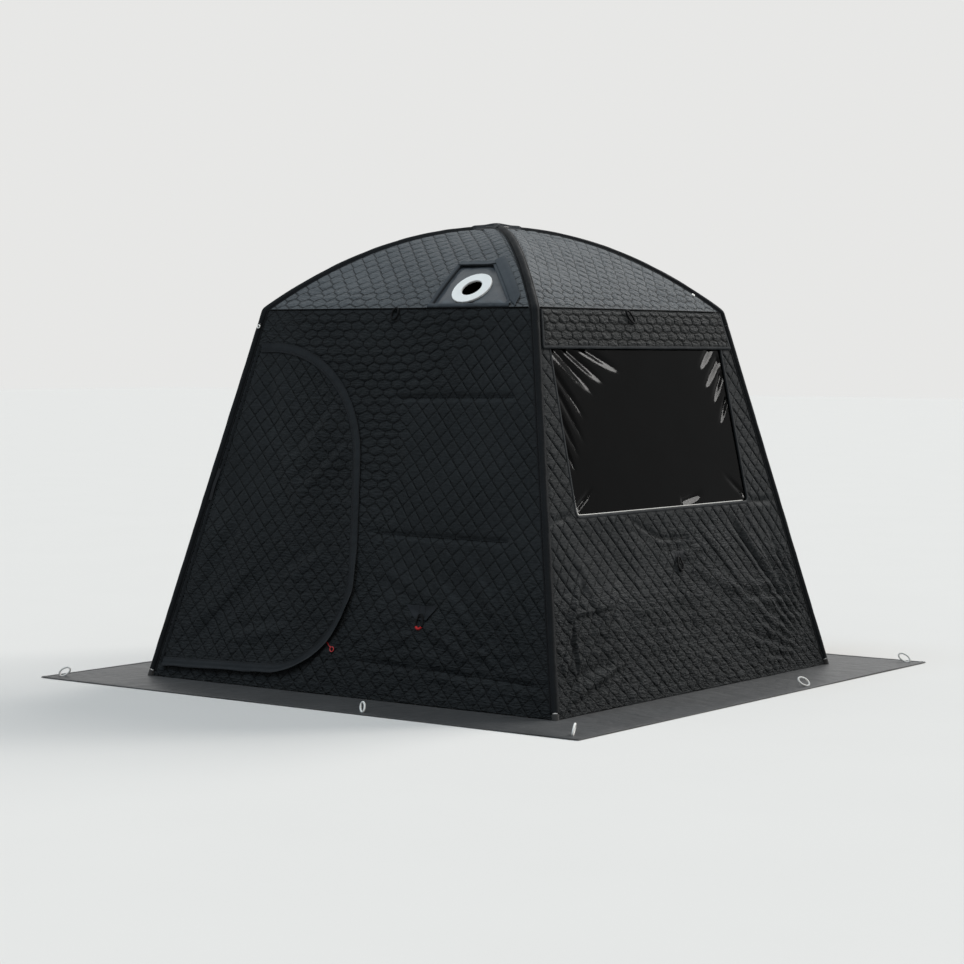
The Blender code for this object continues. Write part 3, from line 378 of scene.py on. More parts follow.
HEM_SECTION = np.array([(-0.010, 0.0), (-0.0095, 0.0016), (-0.005, 0.0022), (0.0, 0.0010), (0.005, 0.0022),
                        (0.0088, 0.0016), (0.0090, 0.0)])
for order, side in enumerate(SIDES):
    seed = 30 + order
    share, out = np.meshgrid(np.linspace(-1, 1, 241), np.linspace(SKIRT_INNER, SKIRT_OUTER - 0.001, 36))
    across = share * (out - 0.0006)
    lift = skirt_lift(across, out, seed)
    skirt = cloth_piece(
        side + "_skirt_cloth", on_side(side, across, -out, lift), [f[::-1] for f in grid_faces(*out.shape)],
        np.stack([across, out], -1), skirt_cloth, 0.0015,
    )
    hem_across = np.linspace(0.005 - SKIRT_OUTER, SKIRT_OUTER - 0.005, 240)
    out = SKIRT_OUTER - 0.0105 + HEM_SECTION[:, 0][None, :] + 0 * hem_across[:, None]
    lift = skirt_lift(hem_across[:, None], out, seed) + HEM_SECTION[:, 1][None, :]
    along = np.broadcast_to(hem_across[:, None], out.shape)
    hem = cloth_piece(
        side + "_skirt_hem", on_side(side, along, -out, lift), grid_faces(*out.shape),
        np.stack([along, out], -1), skirt_cloth, 0.0008,
    )
    fit(hem, side, "plain_fabric")
    fit(skirt, side, "plain_fabric", side + "_skirt", held="laid", with_pieces=[hem],
        flat=(2 * SKIRT_OUTER, SKIRT_OUTER - SKIRT_INNER),
        area=(SKIRT_OUTER + SKIRT_INNER) * (SKIRT_OUTER - SKIRT_INNER))


# Peg loops. White cord is tied in a loop through the skirt at each corner and at the middle of
# each side, for the ground pegs.
def smooth_path(points, count, closed=False):
    """A smooth curve through points."""
    points = np.asarray(points, float)
    if closed:
        padded = np.concatenate([points[-1:], points, points[:2]])
    else:
        padded = np.concatenate([2 * points[:1] - points[1:2], points, 2 * points[-1:] - points[-2:-1]])
    spans = len(padded) - 3
    where = np.linspace(0, spans, count, endpoint=not closed)
    span = np.minimum(where.astype(int), spans - 1)
    t = (where - span)[:, None]
    a, b, c, d = (padded[span + k] for k in range(4))
    return 0.5 * (2 * b + (c - a) * t + (2 * a - 5 * b + 4 * c - d) * t**2 + (3 * b - a - 3 * c + d) * t**3)


def headings(points, closed=False):
    """Unit vectors along a line of points."""
    if closed:
        ahead = np.roll(points, -1, axis=0) - np.roll(points, 1, axis=0)
    else:
        ahead = np.gradient(points, axis=0)
    return ahead / np.linalg.norm(ahead, axis=1)[:, None]


def round_cord(name, points, radius, made_of, closed=False, sides=10):
    """A round cord through points in the tent's frame, with closed ends."""
    points = np.asarray(points, float)
    count = len(points)
    ahead = headings(points, closed)
    side = np.cross(ahead[0], (0.31, 0.22, 0.93))
    turn = np.linspace(0, math.tau, sides + 1)
    rings, surface = [], []
    for k in range(count):
        side = side - ahead[k] * (side @ ahead[k])
        side = side / np.linalg.norm(side)
        other = np.cross(ahead[k], side)
        rings.append(points[k] + radius * (np.cos(turn)[:, None] * side + np.sin(turn)[:, None] * other))
        surface.append(np.stack([turn * radius, np.full(sides + 1, k * radius)], 1))
    faces = grid_faces(count, sides + 1, closed)
    if not closed:
        faces.append(list(range(sides + 1)))
        faces.append([(count - 1) * (sides + 1) + k for k in range(sides + 1)])
    made = cloth_piece(name, np.stack(rings), faces, np.stack(surface), made_of)
    mend(made, radius / 50)
    made.data.shade_smooth()
    return made


peg_cord = plain_weave("peg_cord", (0.62, 0.61, 0.58), (0.80, 0.79, 0.76), 0.3)
PEG_CORD_RADIUS = 0.0040
loop_shape = 1.15 * np.array([(0, 0), (0.010, 0.006), (0.015, 0.020), (0.013, 0.036), (0.003, 0.046),
                              (-0.008, 0.042), (-0.014, 0.028), (-0.011, 0.010)])
sideways, rise = 1.2 * loop_shape[:, 0] - 0.30 * loop_shape[:, 1], loop_shape[:, 1]
for side in SIDES:
    for place_name, across, reach, lean, twist in (
        ("middle", 0.345, 1.315, 0.55, 0.5), ("corner", 1.285, 1.290, 0.35, 1.1),
    ):
        x = across + sideways * math.cos(twist)
        out = reach + sideways * math.sin(twist) - rise * math.sin(lean) * 0.6
        path = smooth_path(on_side(side, x, -out, 0.0060 + rise * math.cos(lean) * 0.75), 48, closed=True)
        loop = round_cord(f"{side}_peg_loop_{place_name}", path, PEG_CORD_RADIUS, peg_cord, closed=True)
        fit(loop, side, "webbing")

# Frame. Round alloy rods and tubes fold on moulded elbows and a moulded hub. They keep the shapes
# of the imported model, with their own finishes.
CORNERS = ("front_right", "back_right", "back_left", "front_left")


def hard_finish(name, color, roughness, metallic=0.0, grain=900.0, depth=0.0001):
    """Moulded or drawn material: a fine grain, and a tone that drifts a little."""
    made, tree, shader = finish(name, metallic=metallic)
    place = solid_place(tree)
    drift = noise(tree, place, 14.0, 3.0)
    fine = noise(tree, place, grain, 2.0)
    feed(shader, "Base Color", tinted(tree, drift, [c * 0.85 for c in color], [c * 1.15 for c in color]))
    feed(shader, "Roughness", drift.spread(roughness * 0.8, roughness * 1.2))
    feed(shader, "Normal", bumped(tree, fine, 0.2, depth))
    return made


moulded_black = hard_finish("moulded_black", (0.018, 0.018, 0.019), 0.45)
drawn_alloy = hard_finish("drawn_alloy", (0.60, 0.61, 0.62), 0.32, 1.0, 2500.0, 0.00003)
plated_steel = hard_finish("plated_steel", (0.55, 0.55, 0.56), 0.25, 1.0, 2500.0, 0.00003)
foot_rubber = hard_finish("foot_rubber", (0.012, 0.012, 0.012), 0.8)
FRAME_FINISHES = {
    "hub_body": moulded_black, "hub_plate": moulded_black, "hub_ring": plated_steel,
    "rib": drawn_alloy, "leg": drawn_alloy, "elbow_pin": plated_steel,
    "upper_elbow": moulded_black, "lower_elbow": moulded_black, "foot": foot_rubber,
}


def refinish(name, made_of):
    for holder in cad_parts[name].material_slots:
        holder.material = made_of


for name, made_of in FRAME_FINISHES.items():
    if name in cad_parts:
        refinish(name, made_of)
        continue
    for corner in CORNERS:
        refinish(name + "_" + corner, made_of)

# Pole sleeves. A pocket of plain cloth runs along every rib and leg. Its two edges are sewn flat
# over the neighbouring panels with a double row of stitches, and the upper one has a hood over
# the elbow.
EAVE_HALF = (1.40 - math.sqrt(2) * SLEEVE_RADIUS) / 2
EAVE_HEIGHT = 1.525
RIDGE_TOP = 1.871
ROOF_CURVE = (RIDGE_TOP - EAVE_HEIGHT) / EAVE_HALF**2
HOOD_LENGTH = 0.058
SEW_WIDTH = 0.0215


def surface_place(tree, layer="surface"):
    """A coordinate layer of the mesh, and its two values."""
    place = node(tree, "ShaderNodeUVMap", {"uv_map": layer})
    return place, *(node(tree, "ShaderNodeSeparateXYZ", {}, {0: place}, output=axis) for axis in (0, 1))


def stitched_cloth(name, dark, light, rows):
    """Plain cloth with two rows of stitches along it, at distances from the middle line, and painted shade
    along the rows' grooves.
    """
    made = plain_weave(name, dark, light, 0.8)
    tree = made.node_tree
    shader = tree.nodes["Principled BSDF"]
    _, across, along = surface_place(tree)
    first, second = ((across.size() - row).size() for row in rows)
    off = first.least(second)
    dash = (along / 0.0048).from_middle().below(0.33, 0.06)
    thread = off.below(0.0004, 0.0003) * dash
    groove = off.below(0.0006, 0.0036)
    color = Wire(tree, shader.inputs["Base Color"].links[0].from_socket)
    # Painted shade: the colour darkens to near black along the stitch rows' grooves, where shade would fall.
    color = tinted(tree, groove * 0.75, color, (0.002, 0.002, 0.0024))
    feed(shader, "Base Color", tinted(tree, thread * 0.6, color, [c * 3.0 for c in light]))
    under = Wire(tree, shader.inputs["Normal"].links[0].from_socket)
    feed(shader, "Normal", bumped(tree, thread * 0.5 - groove, 0.6, 0.0012, under))
    return made


sleeve_cloth = stitched_cloth("sleeve_cloth", (0.0030, 0.0038, 0.0046), (0.0075, 0.0088, 0.0102),
                              rows=(0.0345, 0.0378))
LIP_STEPS = ((0.76, 0.0062), (0.83, 0.0052), (0.90, 0.0048), (0.95, 0.0050), (1.0, 0.0044))


def travelled(points):
    """Length run at each point of a flat line."""
    return np.concatenate([[0], np.cumsum(np.hypot(*np.diff(points, axis=0).T))])


def corner_way(corner):
    """Unit vectors out along a corner's diagonal and across it."""
    angle = math.pi / 2 * (CORNERS.index(corner) - 0.5)
    return np.array([math.cos(angle), math.sin(angle), 0]), np.array([-math.sin(angle), math.cos(angle), 0])


def sleeve(name, path, corner, seed):
    """A pocket along a path of (reach, height) in the corner's diagonal plane."""
    out_way, side_way = corner_way(corner)
    path = np.asarray(path, float)
    ahead, run = headings(path), travelled(path)
    rings, surface = [], []
    for k, (reach, height) in enumerate(path):
        away = np.array([-ahead[k][1], ahead[k][0]])
        if away[0] + away[1] < 0:
            away = -away
        toward = np.array([-away[0], -1.0])
        toward = toward / np.hypot(*toward)
        face = np.array([-toward[1], toward[0]])
        bend = math.atan2(-toward[0], -toward[1])
        turn = np.linspace(0, math.pi / 2 + bend - 0.24, 12)
        ripple = unevenness(turn * 0.02, run[k], 0.012, 0.045, seed)
        radius = SLEEVE_RADIUS - 0.0008 + 0.0007 * ripple
        half = [(r * math.cos(t), -r * math.sin(t)) for r, t in zip(radius, turn)]
        for share, rise in LIP_STEPS:
            wave = 0.0005 * unevenness(share, run[k], 0.3, 0.03, seed + 3)
            half.append(tuple(toward * share * SEW_WIDTH + face * (rise + wave)))
        ring = [(e1, -e2) for e1, e2 in half[:0:-1]] + half
        lengths = travelled(half)
        rings.append([
            out_way * (reach + away[0] * e1) + side_way * e2 + np.array([0, 0, height + away[1] * e1])
            for e1, e2 in ring
        ])
        surface.append([(u, run[k]) for u in np.concatenate([-lengths[:0:-1], lengths])])
    rings = np.array(rings)
    faces = grid_faces(*rings.shape[:2])
    made = cloth_piece(name, rings, faces, surface, sleeve_cloth, 0.0014)
    return made


EAVE_REACH = EAVE_HALF * math.sqrt(2)
BASE_REACH = BASE_HALF * math.sqrt(2)
leg_run = np.array([BASE_REACH - EAVE_REACH, -EAVE_HEIGHT])
leg_run = leg_run / np.hypot(*leg_run)
elbow = np.array([EAVE_REACH, EAVE_HEIGHT])
ridge = [(r, RIDGE_TOP - (RIDGE_TOP - EAVE_HEIGHT) * (r / EAVE_REACH) ** 2)
         for r in np.linspace(0.072, EAVE_REACH - 0.018, 54)]
hood = [elbow + leg_run * d for d in np.linspace(0.016, HOOD_LENGTH, 6)]
bend = smooth_path([ridge[-2], ridge[-1], elbow - (0.001, 0.0015), hood[0], hood[1]], 25)
ridge_line = np.concatenate([ridge[:-1], bend[6:-6], hood[1:]])
start = elbow + leg_run * (HOOD_LENGTH + 0.0006)
end = np.array([BASE_REACH, 0]) - leg_run * 0.030
for order, corner in enumerate(CORNERS):
    upper = sleeve("ridge_pocket_" + corner, ridge_line, corner, 40 + order)
    lower = sleeve("corner_pocket_" + corner, np.linspace(start, end, 90), corner, 50 + order)
    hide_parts("ridge_sleeve_" + corner)
    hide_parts("corner_sleeve_" + corner)
    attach(upper, "rib_" + corner)
    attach(lower, "leg_" + corner)

# Back and left walls. Black polyester is quilted in diamonds over thin filling. It is taut
# between the pole sleeves, sewn across at mid height, and drawn into creases at the lower corners.
SLANT = math.hypot(BASE_HALF - EAVE_HALF, EAVE_HEIGHT)
LEAN = math.atan2(BASE_HALF - EAVE_HALF, EAVE_HEIGHT)
CELL_WIDE = 0.070
CELL_TALL = 0.077
CELL_SIDE = 0.026


def wall_place(side):
    """Turns across, up the slant and outward into the tent's frame."""
    def place(across, up, out):
        y = -BASE_HALF + up * math.sin(LEAN) - out * math.cos(LEAN)
        return on_side(side, across, y, up * math.cos(LEAN) + out * math.sin(LEAN))
    return place


def quilt_finish(name, dark, light, tall=CELL_TALL, sheen=0.015):
    """Quilted cloth. Taut, its cells are diamonds; where it is slack they draw up into hexagons. Its colour
    carries painted shade in the stitch valleys and painted highlight on the crinkles' crests.
    """
    made, tree, shader = finish(name, Sheen_Weight=sheen, Sheen_Roughness=0.4, Specular_IOR_Level=0.045)
    place, across, up = surface_place(tree)
    _, loose, rumpled = surface_place(tree, "slack")
    side = loose * CELL_SIDE
    off = None
    for shift in (0.5, 0.0):
        wide = (across / CELL_WIDE + (shift + 0.5)).from_middle()
        high = (up / tall + shift).from_middle()
        end_gap = (tall - side) * 0.5 - wide * (tall - 2.0 * side) - high * tall
        gap = ((0.5 - wide) * CELL_WIDE).least(end_gap * 0.72)
        off = gap if off is None else off.most(gap)
    dash = (across / 0.0036 + up / 0.0048).from_middle().below(0.36, 0.08)
    thread = off.below(0.0005, 0.0005) * dash
    rising = (across / CELL_WIDE - up / tall).from_middle()
    falling = (across / CELL_WIDE + up / tall).from_middle()
    # Along one family of stitch lines the valleys are made shallower and their painted shade lighter, to suit
    # light from the upper right.
    weak = (falling - rising).below(-0.10, 0.14) * (1.0 - loose) * 0.30
    valley_and_shade = off.below(0.0005, 0.0034) * (1.0 - weak)
    near_seam = off.below(0.0030, 0.0120)

    stretched = node(tree, "ShaderNodeMapping", {}, {"Vector": place, "Scale": (1.0, 2.6, 1.0)})
    crinkle = noise(tree, stretched, 42.0, 3.0, 0.55)
    dapple = noise(tree, place, 2.4, 3.0, 0.5)
    fuzz = noise(tree, place, 1400.0, 1.0)
    # Painted highlight: the crinkle noise that bumps the cloth also lightens its colour on the crinkles'
    # crests, along with a random dapple in tone.
    tone_and_crest_highlight = crinkle.spread(-0.25, 0.85) + dapple.spread(-0.35, 0.45)
    color = tinted(tree, tone_and_crest_highlight, dark, light)
    # Painted shade: the colour darkens to near black in the stitch valleys, where shade would fall.
    color = tinted(tree, valley_and_shade * 0.85, color, (0.0008, 0.0010, 0.0012))
    color = tinted(tree, thread * 0.3, color, light)
    color = tinted(tree, fuzz.spread(-0.2, 0.30), color, [c * 1.6 for c in light])
    feed(shader, "Base Color", color)
    feed(shader, "Roughness", dapple.spread(0.42, 0.60))
    rumple = crinkle * (near_seam * 0.20 + 0.20 + rumpled)
    ripples = bumped(tree, rumple, 1.0, 0.0110)
    sewn = bumped(tree, thread * 0.3 - valley_and_shade, 0.8, 0.0022, ripples)
    feed(shader, "Normal", bumped(tree, fuzz, 0.12, 0.0004, sewn))
    return made


wall_quilt = quilt_finish("wall_quilt", (0.0086, 0.0101, 0.0110), (0.0275, 0.0305, 0.0325))


def outline_gap(points, outline):
    """Signed distance to a closed outline, negative inside, and the nearest place on it."""
    points, outline = np.asarray(points, float), np.asarray(outline, float)
    best = np.full(len(points), np.inf)
    nearest = points.copy()
    inside = np.zeros(len(points), bool)
    for first, second in zip(outline, np.roll(outline, -1, axis=0)):
        run = second - first
        share = np.clip(((points - first) @ run) / max(run @ run, 1e-12), 0, 1)
        spot = first + share[:, None] * run
        gap = np.hypot(*(points - spot).T)
        closer = gap < best
        best[closer], nearest[closer] = gap[closer], spot[closer]
        if run[1]:
            straddles = (first[1] > points[:, 1]) != (second[1] > points[:, 1])
            inside ^= straddles & (points[:, 0] < run[0] * (points[:, 1] - first[1]) / run[1] + first[0])
    return np.where(inside, -best, best), nearest


def cut_sheet(spots, quads, outline, holes, pad):
    """Keeps a grid's faces inside an outline and outside its holes, with their edges on the cut."""
    gap, nearest = outline_gap(spots, outline)
    for hole in holes:
        hole_gap, hole_nearest = outline_gap(spots, hole)
        closer = -hole_gap > gap
        gap[closer], nearest[closer] = -hole_gap[closer], hole_nearest[closer]
    quads = quads[gap[quads].mean(1) < 0]
    snap = (gap > -0.3 * pad) & np.isin(np.arange(len(spots)), quads)
    spots[snap], gap[snap] = nearest[snap], 0
    used, compact = np.unique(quads, return_inverse=True)
    return spots[used], compact.reshape(-1, 4), -gap[used], used


def diamond_grid(outline, fine, tall, extra):
    """A grid along the two stitch directions, with its lines on the stitches."""
    low_x, low_y = np.min(outline, 0) - extra
    high_x, high_y = np.max(outline, 0) + extra
    first = np.arange(math.floor(fine * (low_x / CELL_WIDE + low_y / tall)) - 1,
                      math.ceil(fine * (high_x / CELL_WIDE + high_y / tall)) + 2)
    second = np.arange(math.floor(fine * (low_x / CELL_WIDE - high_y / tall)) - 1,
                       math.ceil(fine * (high_x / CELL_WIDE - low_y / tall)) + 2)
    first, second = np.meshgrid(first, second, indexing="ij")
    spots = np.stack([CELL_WIDE * (first + second) / (2 * fine), tall * (first - second) / (2 * fine)], -1)
    number = np.arange(first.size).reshape(first.shape)
    quads = np.stack([number[:-1, :-1], number[1:, :-1], number[1:, 1:], number[:-1, 1:]], -1).reshape(-1, 4)
    spots = spots.reshape(-1, 2)
    pad = CELL_WIDE / fine
    near = ((spots > (low_x - pad, low_y - pad)) & (spots < (high_x + pad, high_y + pad))).all(1)
    return spots, quads[near[quads].all(1)][:, ::-1], pad


def cell_shape(across, up, tall, side):
    """Distance in from the edge of a cell, and the height over its middle as a share of the cell."""
    off = np.full(np.shape(across), -1.0)
    above = np.zeros(np.shape(across))
    for shift in (0.5, 0.0):
        wide = np.abs((across / CELL_WIDE + shift + 0.5) % 1 - 0.5)
        high = (up / tall + shift) % 1 - 0.5
        end_gap = (tall - side) / 2 - wide * (tall - 2 * side) - np.abs(high) * tall
        gap = np.minimum((0.5 - wide) * CELL_WIDE, end_gap * 0.72)
        above = np.where(gap > off, high, above)
        off = np.maximum(off, gap)
    return off, above


def eased(share):
    share = np.clip(share, 0, 1)
    return share * share * (3 - 2 * share)


def quilted(name, place, outline, made_of, shape, slack, seed, holes=(), press=None, warp=None, rumple=None,
            tall=CELL_TALL, puff=0.0052, groove=0.0115, jitter=0.0045,
            top=0.0042, rim=0.0022, margin=0.008, thickness=0.003, fine=6):
    """A quilted panel, cut to its outline: its cells, the rumples where it is slack, and its drape."""
    fine = fine
    cloth, quads, pad = diamond_grid(outline, fine, tall, 0.08 if warp is not None else 0.0)
    moved = cloth.copy() if warp is None else cloth + warp(*cloth.T)
    spots, faces, inside, kept = cut_sheet(moved, quads, outline, holes, pad)
    across, up = spots.T
    hold = eased((inside - margin) / 0.014)
    if press is not None:
        hold = hold * press(across, up)
    loose = np.clip(slack(across, up), 0, 1)
    own = cloth[kept]
    shift = [unevenness(*own.T, 0.050, 0.036, seed + k) for k in (150, 151)]
    own = own + jitter * loose[:, None] * np.stack(shift, 1)
    creased = loose if rumple is None else np.clip(rumple(across, up), 0, 1)
    own_across, own_up = own.T
    off, above = cell_shape(own_across, own_up, tall, loose * CELL_SIDE)
    rising = np.abs((own_across / CELL_WIDE - own_up / tall) % 1 - 0.5)
    falling = np.abs((own_across / CELL_WIDE + own_up / tall) % 1 - 0.5)
    weak = 0.25 * eased((rising - falling) / 0.14 + 0.3) * (1 - loose)
    pillow = 1 - (1 - weak) * (1 - np.clip(off / groove, 0, 1)) ** 2.2
    belly = -0.0042 * loose * above * pillow
    crinkle = layered(own_across, own_up, (1, 0.024, 0.010, seed), (0.6, 0.012, 0.007, seed + 50))
    uneven = 1 + 0.22 * unevenness(across, up, 0.11, 0.11, seed + 100) + 0.25 * loose
    out = rim * (1 - hold) + (top - puff + puff * pillow * uneven + belly) * hold
    out = out + (0.0007 + 0.0018 * creased) * crinkle * (0.35 + 0.65 * pillow) * hold
    out = out + shape(across, up) * eased(inside / 0.10)
    piece = cloth_piece(name, place(across, up, out), faces, own, made_of, thickness, [loose, creased])
    return piece


def wall_half(up):
    """Half the wall's width between the sleeves' middle lines."""
    return BASE_HALF + (EAVE_HALF - BASE_HALF) * up / SLANT


def wall_outline():
    low, high = 0.0045, SLANT - 0.0012
    room = SLEEVE_RADIUS - 0.001
    return [(room - wall_half(low), low), (wall_half(low) - room, low), (wall_half(high) - room, high),
            (room - wall_half(high), high)]


def beside_line(across, up, start, end):
    """How far along a line places are, how far to its left, and the line's length."""
    length = math.dist(start, end)
    way = np.subtract(end, start) / length
    x, y = across - start[0], up - start[1]
    return x * way[0] + y * way[1], y * way[0] - x * way[1], length


def fold(across, up, start, end, width, depth):
    """A soft fold along a line: a crest on its left and a dip on its right, faded at both ends."""
    along, side, length = beside_line(across, up, start, end)
    along, side = along / length, side / width
    return depth * 1.6 * side * np.exp(-side * side) * eased(np.minimum(along, 1 - along) * 3.5)


def folds(across, up, table):
    """Adds up folds, each a start, an end, a width and a depth."""
    return sum(fold(across, up, *row) for row in table)


def fan(across, up, corner, first, last, reaches, depth):
    """Folds that run out from a corner, from the first angle to the last in degrees."""
    table = []
    for angle, reach in zip(np.radians(np.linspace(first, last, len(reaches))), reaches):
        way = np.array([math.cos(angle), math.sin(angle)])
        table.append((corner + way * 0.03, corner + way * reach, 0.010 + 0.013 * reach, depth))
    return folds(across, up, table)


def seam_gap(across, up, seams):
    """Distance to the nearest of some seams, each a run of points."""
    nearest = np.inf
    for seam in seams:
        for start, end in zip(seam, seam[1:]):
            along, aside, length = beside_line(across, up, start, end)
            nearest = np.minimum(nearest, np.hypot(along - np.clip(along, 0, length), aside))
    return nearest


def pinch(across, up, seams, depth=0.0085):
    """Seams that hold the cloth in along their lines."""
    return -depth * np.exp(-((seam_gap(across, up, seams) / 0.013) ** 2))


def sewn_flat(across, up, seams):
    """The share of their height that puffs keep near seams."""
    return 1 - np.exp(-((seam_gap(across, up, seams) / 0.007) ** 2))


def sag(across, up, depth=0.007):
    """The cloth hangs a little inward between the poles."""
    inside = np.clip(1 - (across / wall_half(up)) ** 2, 0, 1)
    return -depth * inside * np.sin(math.pi * np.clip(up / SLANT, 0, 1)) ** 0.8


BLIND_SEAMS = [[(-0.86, 0.655), (0.86, 0.655)]]


def blind_wall_shape(seed):
    def shape(across, up):
        drape = layered(across, up, (0.0045, 0.35, 0.45, seed), (0.002, 0.12, 0.16, seed + 5))
        left = fan(across, up, (-0.99, 0.02), 28, 82, (0.42, 0.55, 0.38, 0.60, 0.34), 0.005)
        right = fan(across, up, (0.99, 0.02), 152, 98, (0.50, 0.36, 0.62, 0.40, 0.32), 0.005)
        return sag(across, up) + drape + left + right + pinch(across, up, BLIND_SEAMS)
    return shape


def blind_wall_slack(across, up):
    return np.clip(0.6 - 0.5 * up, 0.10, 0.5) + 0.2 * unevenness(across, up, 0.3, 0.25, 77)


# The welts are real, but their near-black colour is painted shade, for the dark line along each seam's pinch
# and along the eave.
welt_cloth_painted_shade = plain_weave("seam_welt", (0.0012, 0.0014, 0.0016), (0.0030, 0.0034, 0.0038), 0.2,
                          sheen=0.0, shine=0.05)


def strip(name, place, path, section, made_of, closed=False, thickness=0.0):
    """Sweeps a section of (sideways, out) points along a path on a surface. Sideways is its right."""
    points, surface = [], []
    for spot, ahead, run in zip(path, headings(path, closed), travelled(path)):
        sideways, out = np.transpose(section(run, spot) if callable(section) else section)
        points.append(place(spot[0] + sideways * ahead[1], spot[1] - sideways * ahead[0], out))
        surface.append(np.stack([sideways, np.full(len(sideways), run)], 1))
    points = np.array(points)
    return cloth_piece(name, points, grid_faces(*points.shape[:2], closed), surface, made_of, thickness)


def evened(points, spacing, closed=False):
    """The same line with its points at an even spacing."""
    points = np.asarray(points, float)
    if closed:
        points = np.concatenate([points, points[:1]])
    lengths = travelled(points)
    count = max(2, round(lengths[-1] / spacing))
    where = np.linspace(0, lengths[-1], count + 1)[: count if closed else None]
    return np.stack([np.interp(where, lengths, points[:, k]) for k in range(2)], 1)


def welt(name, side, path, shape):
    """A fine welt along a seam, at the bottom of its pinch, coloured near black as painted shade for the
    seam's groove.
    """
    path = evened(path, 0.01)
    lift = shape(path[:, 0], path[:, 1]) + 0.0022

    def on_seam(across, up, out):
        return wall_place(side)(across, up, out + np.interp(across, path[:, 0], lift))

    section = [(-0.0031, -0.0008), (-0.0024, 0.0006), (0, 0.0011), (0.0024, 0.0006), (0.0031, -0.0008)]
    fit(strip(name, on_seam, path, section, welt_cloth_painted_shade), side, "quilted_fabric")


for order, side in enumerate(("back", "left")):
    shape = blind_wall_shape(11 + 20 * order)
    wall = quilted(side + "_wall_quilt", wall_place(side), wall_outline(), wall_quilt, shape,
                   blind_wall_slack, 20 + order, press=lambda across, up: sewn_flat(across, up, BLIND_SEAMS))
    fit(wall, side, "quilted_fabric", side + "_wall")
    welt(side + "_wall_seam", side, BLIND_SEAMS[0], shape)

# Front wall. The same quilted cloth has the door's opening cut in it, three sewn seams beside the
# door, and a fan of drag creases from its lower right corner. A dimple shows where the pull loop
# is sewn on.
def unit(vector):
    return vector / math.hypot(*vector)


def turned_by(first, second):
    return first[0] * second[1] - first[1] * second[0]


def rounded_outline(corners, grow=(0,), spacing=0.006):
    """An outline from (point, radius) corners whose edges are moved out, with its rounds drawn."""
    count = len(corners)
    grow = tuple(grow) * count if len(grow) == 1 else grow
    edges = []
    for k, (spot, _) in enumerate(corners):
        way = unit(np.subtract(corners[(k + 1) % count][0], spot))
        edges.append((np.add(spot, np.array([way[1], -way[0]]) * grow[k]), way))
    moved = []
    for k, (_, radius) in enumerate(corners):
        (first, first_way), (second, second_way) = edges[k - 1], edges[k]
        share = turned_by(second - first, second_way) / turned_by(first_way, second_way)
        moved.append((first + first_way * share, radius + max(grow[k - 1], grow[k]) if radius else 0))
    points = []
    for k, (spot, radius) in enumerate(moved):
        if not radius:
            points.append(spot)
            continue
        back, ahead = unit(moved[k - 1][0] - spot), unit(moved[(k + 1) % count][0] - spot)
        half = math.acos(back @ ahead) / 2
        centre = spot + unit(back + ahead) * radius / math.sin(half)
        first = spot + back * radius / math.tan(half) - centre
        last = spot + ahead * radius / math.tan(half) - centre
        start, sweep = math.atan2(first[1], first[0]), math.atan2(turned_by(first, last), first @ last)
        steps = max(4, int(radius * abs(sweep) / spacing))
        for angle in start + sweep * np.linspace(0, 1, steps + 1):
            points.append(centre + radius * np.array([math.cos(angle), math.sin(angle)]))
    return np.array(points)


def wall_spot(across, height):
    return np.array([across, height / math.cos(LEAN)])


SLEEVE_EDGE = 0.01566
HINGE_INSET = 0.030
DOOR_HEIGHTS = (1.372, 0.063)


def hinge_spot(height):
    """A place on the door's hinge line, 3 cm in from the left corner sleeve."""
    up = height / math.cos(LEAN)
    return np.array([HINGE_INSET + SLEEVE_EDGE - wall_half(up), up])


door_top_right = wall_spot(-0.140, DOOR_HEIGHTS[0])
DOOR_CORNERS = [
    (hinge_spot(DOOR_HEIGHTS[0]), 0),
    (hinge_spot(DOOR_HEIGHTS[1]), 0),
    (wall_spot(0.035, 0.090), 0.39),
    (door_top_right, math.dist(door_top_right, hinge_spot(DOOR_HEIGHTS[0])) * 0.985),
]
FRONT_SEAMS = [
    [(0.085, 1.203), (0.640, 1.210)],
    [(-0.010, 0.668), (0.080, 0.655), (0.700, 0.649)],
    [(0.020, 0.152), (0.400, 0.142), (0.985, 0.118)],
]
LOOP_SPOTS = {"front": wall_spot(0.340, 0.330), "right": wall_spot(0.010, 0.520)}


def dimple(across, up, spot):
    """A pulled-in place round a sewn point, with short creases that run into it."""
    depth, size = 0.008, 0.055
    x, y = across - spot[0], up - spot[1]
    gap = np.hypot(x, y)
    rays = np.cos(5 * np.arctan2(y, x) + 0.7) * np.exp(-(((gap - size) / (0.8 * size)) ** 2))
    return depth * (0.22 * rays - np.exp(-((gap / size) ** 2)))


FRONT_FOLDS = (
    ((-0.675, 1.535), (-0.610, 1.440), 0.011, 0.007), ((-0.640, 1.535), (-0.575, 1.440), 0.011, 0.007),
    ((-0.605, 1.535), (-0.540, 1.440), 0.011, 0.007), ((0.36, 0.31), (0.06, 0.20), 0.030, 0.005),
    ((0.05, 0.52), (0.46, 0.36), 0.035, 0.006), ((0.10, 1.10), (0.22, 0.72), 0.035, 0.005),
    ((0.42, 0.60), (0.80, 0.24), 0.045, 0.006), ((0.06, 0.95), (0.16, 0.68), 0.025, 0.004),
    ((0.30, 0.34), (0.62, 0.14), 0.035, 0.006),
)


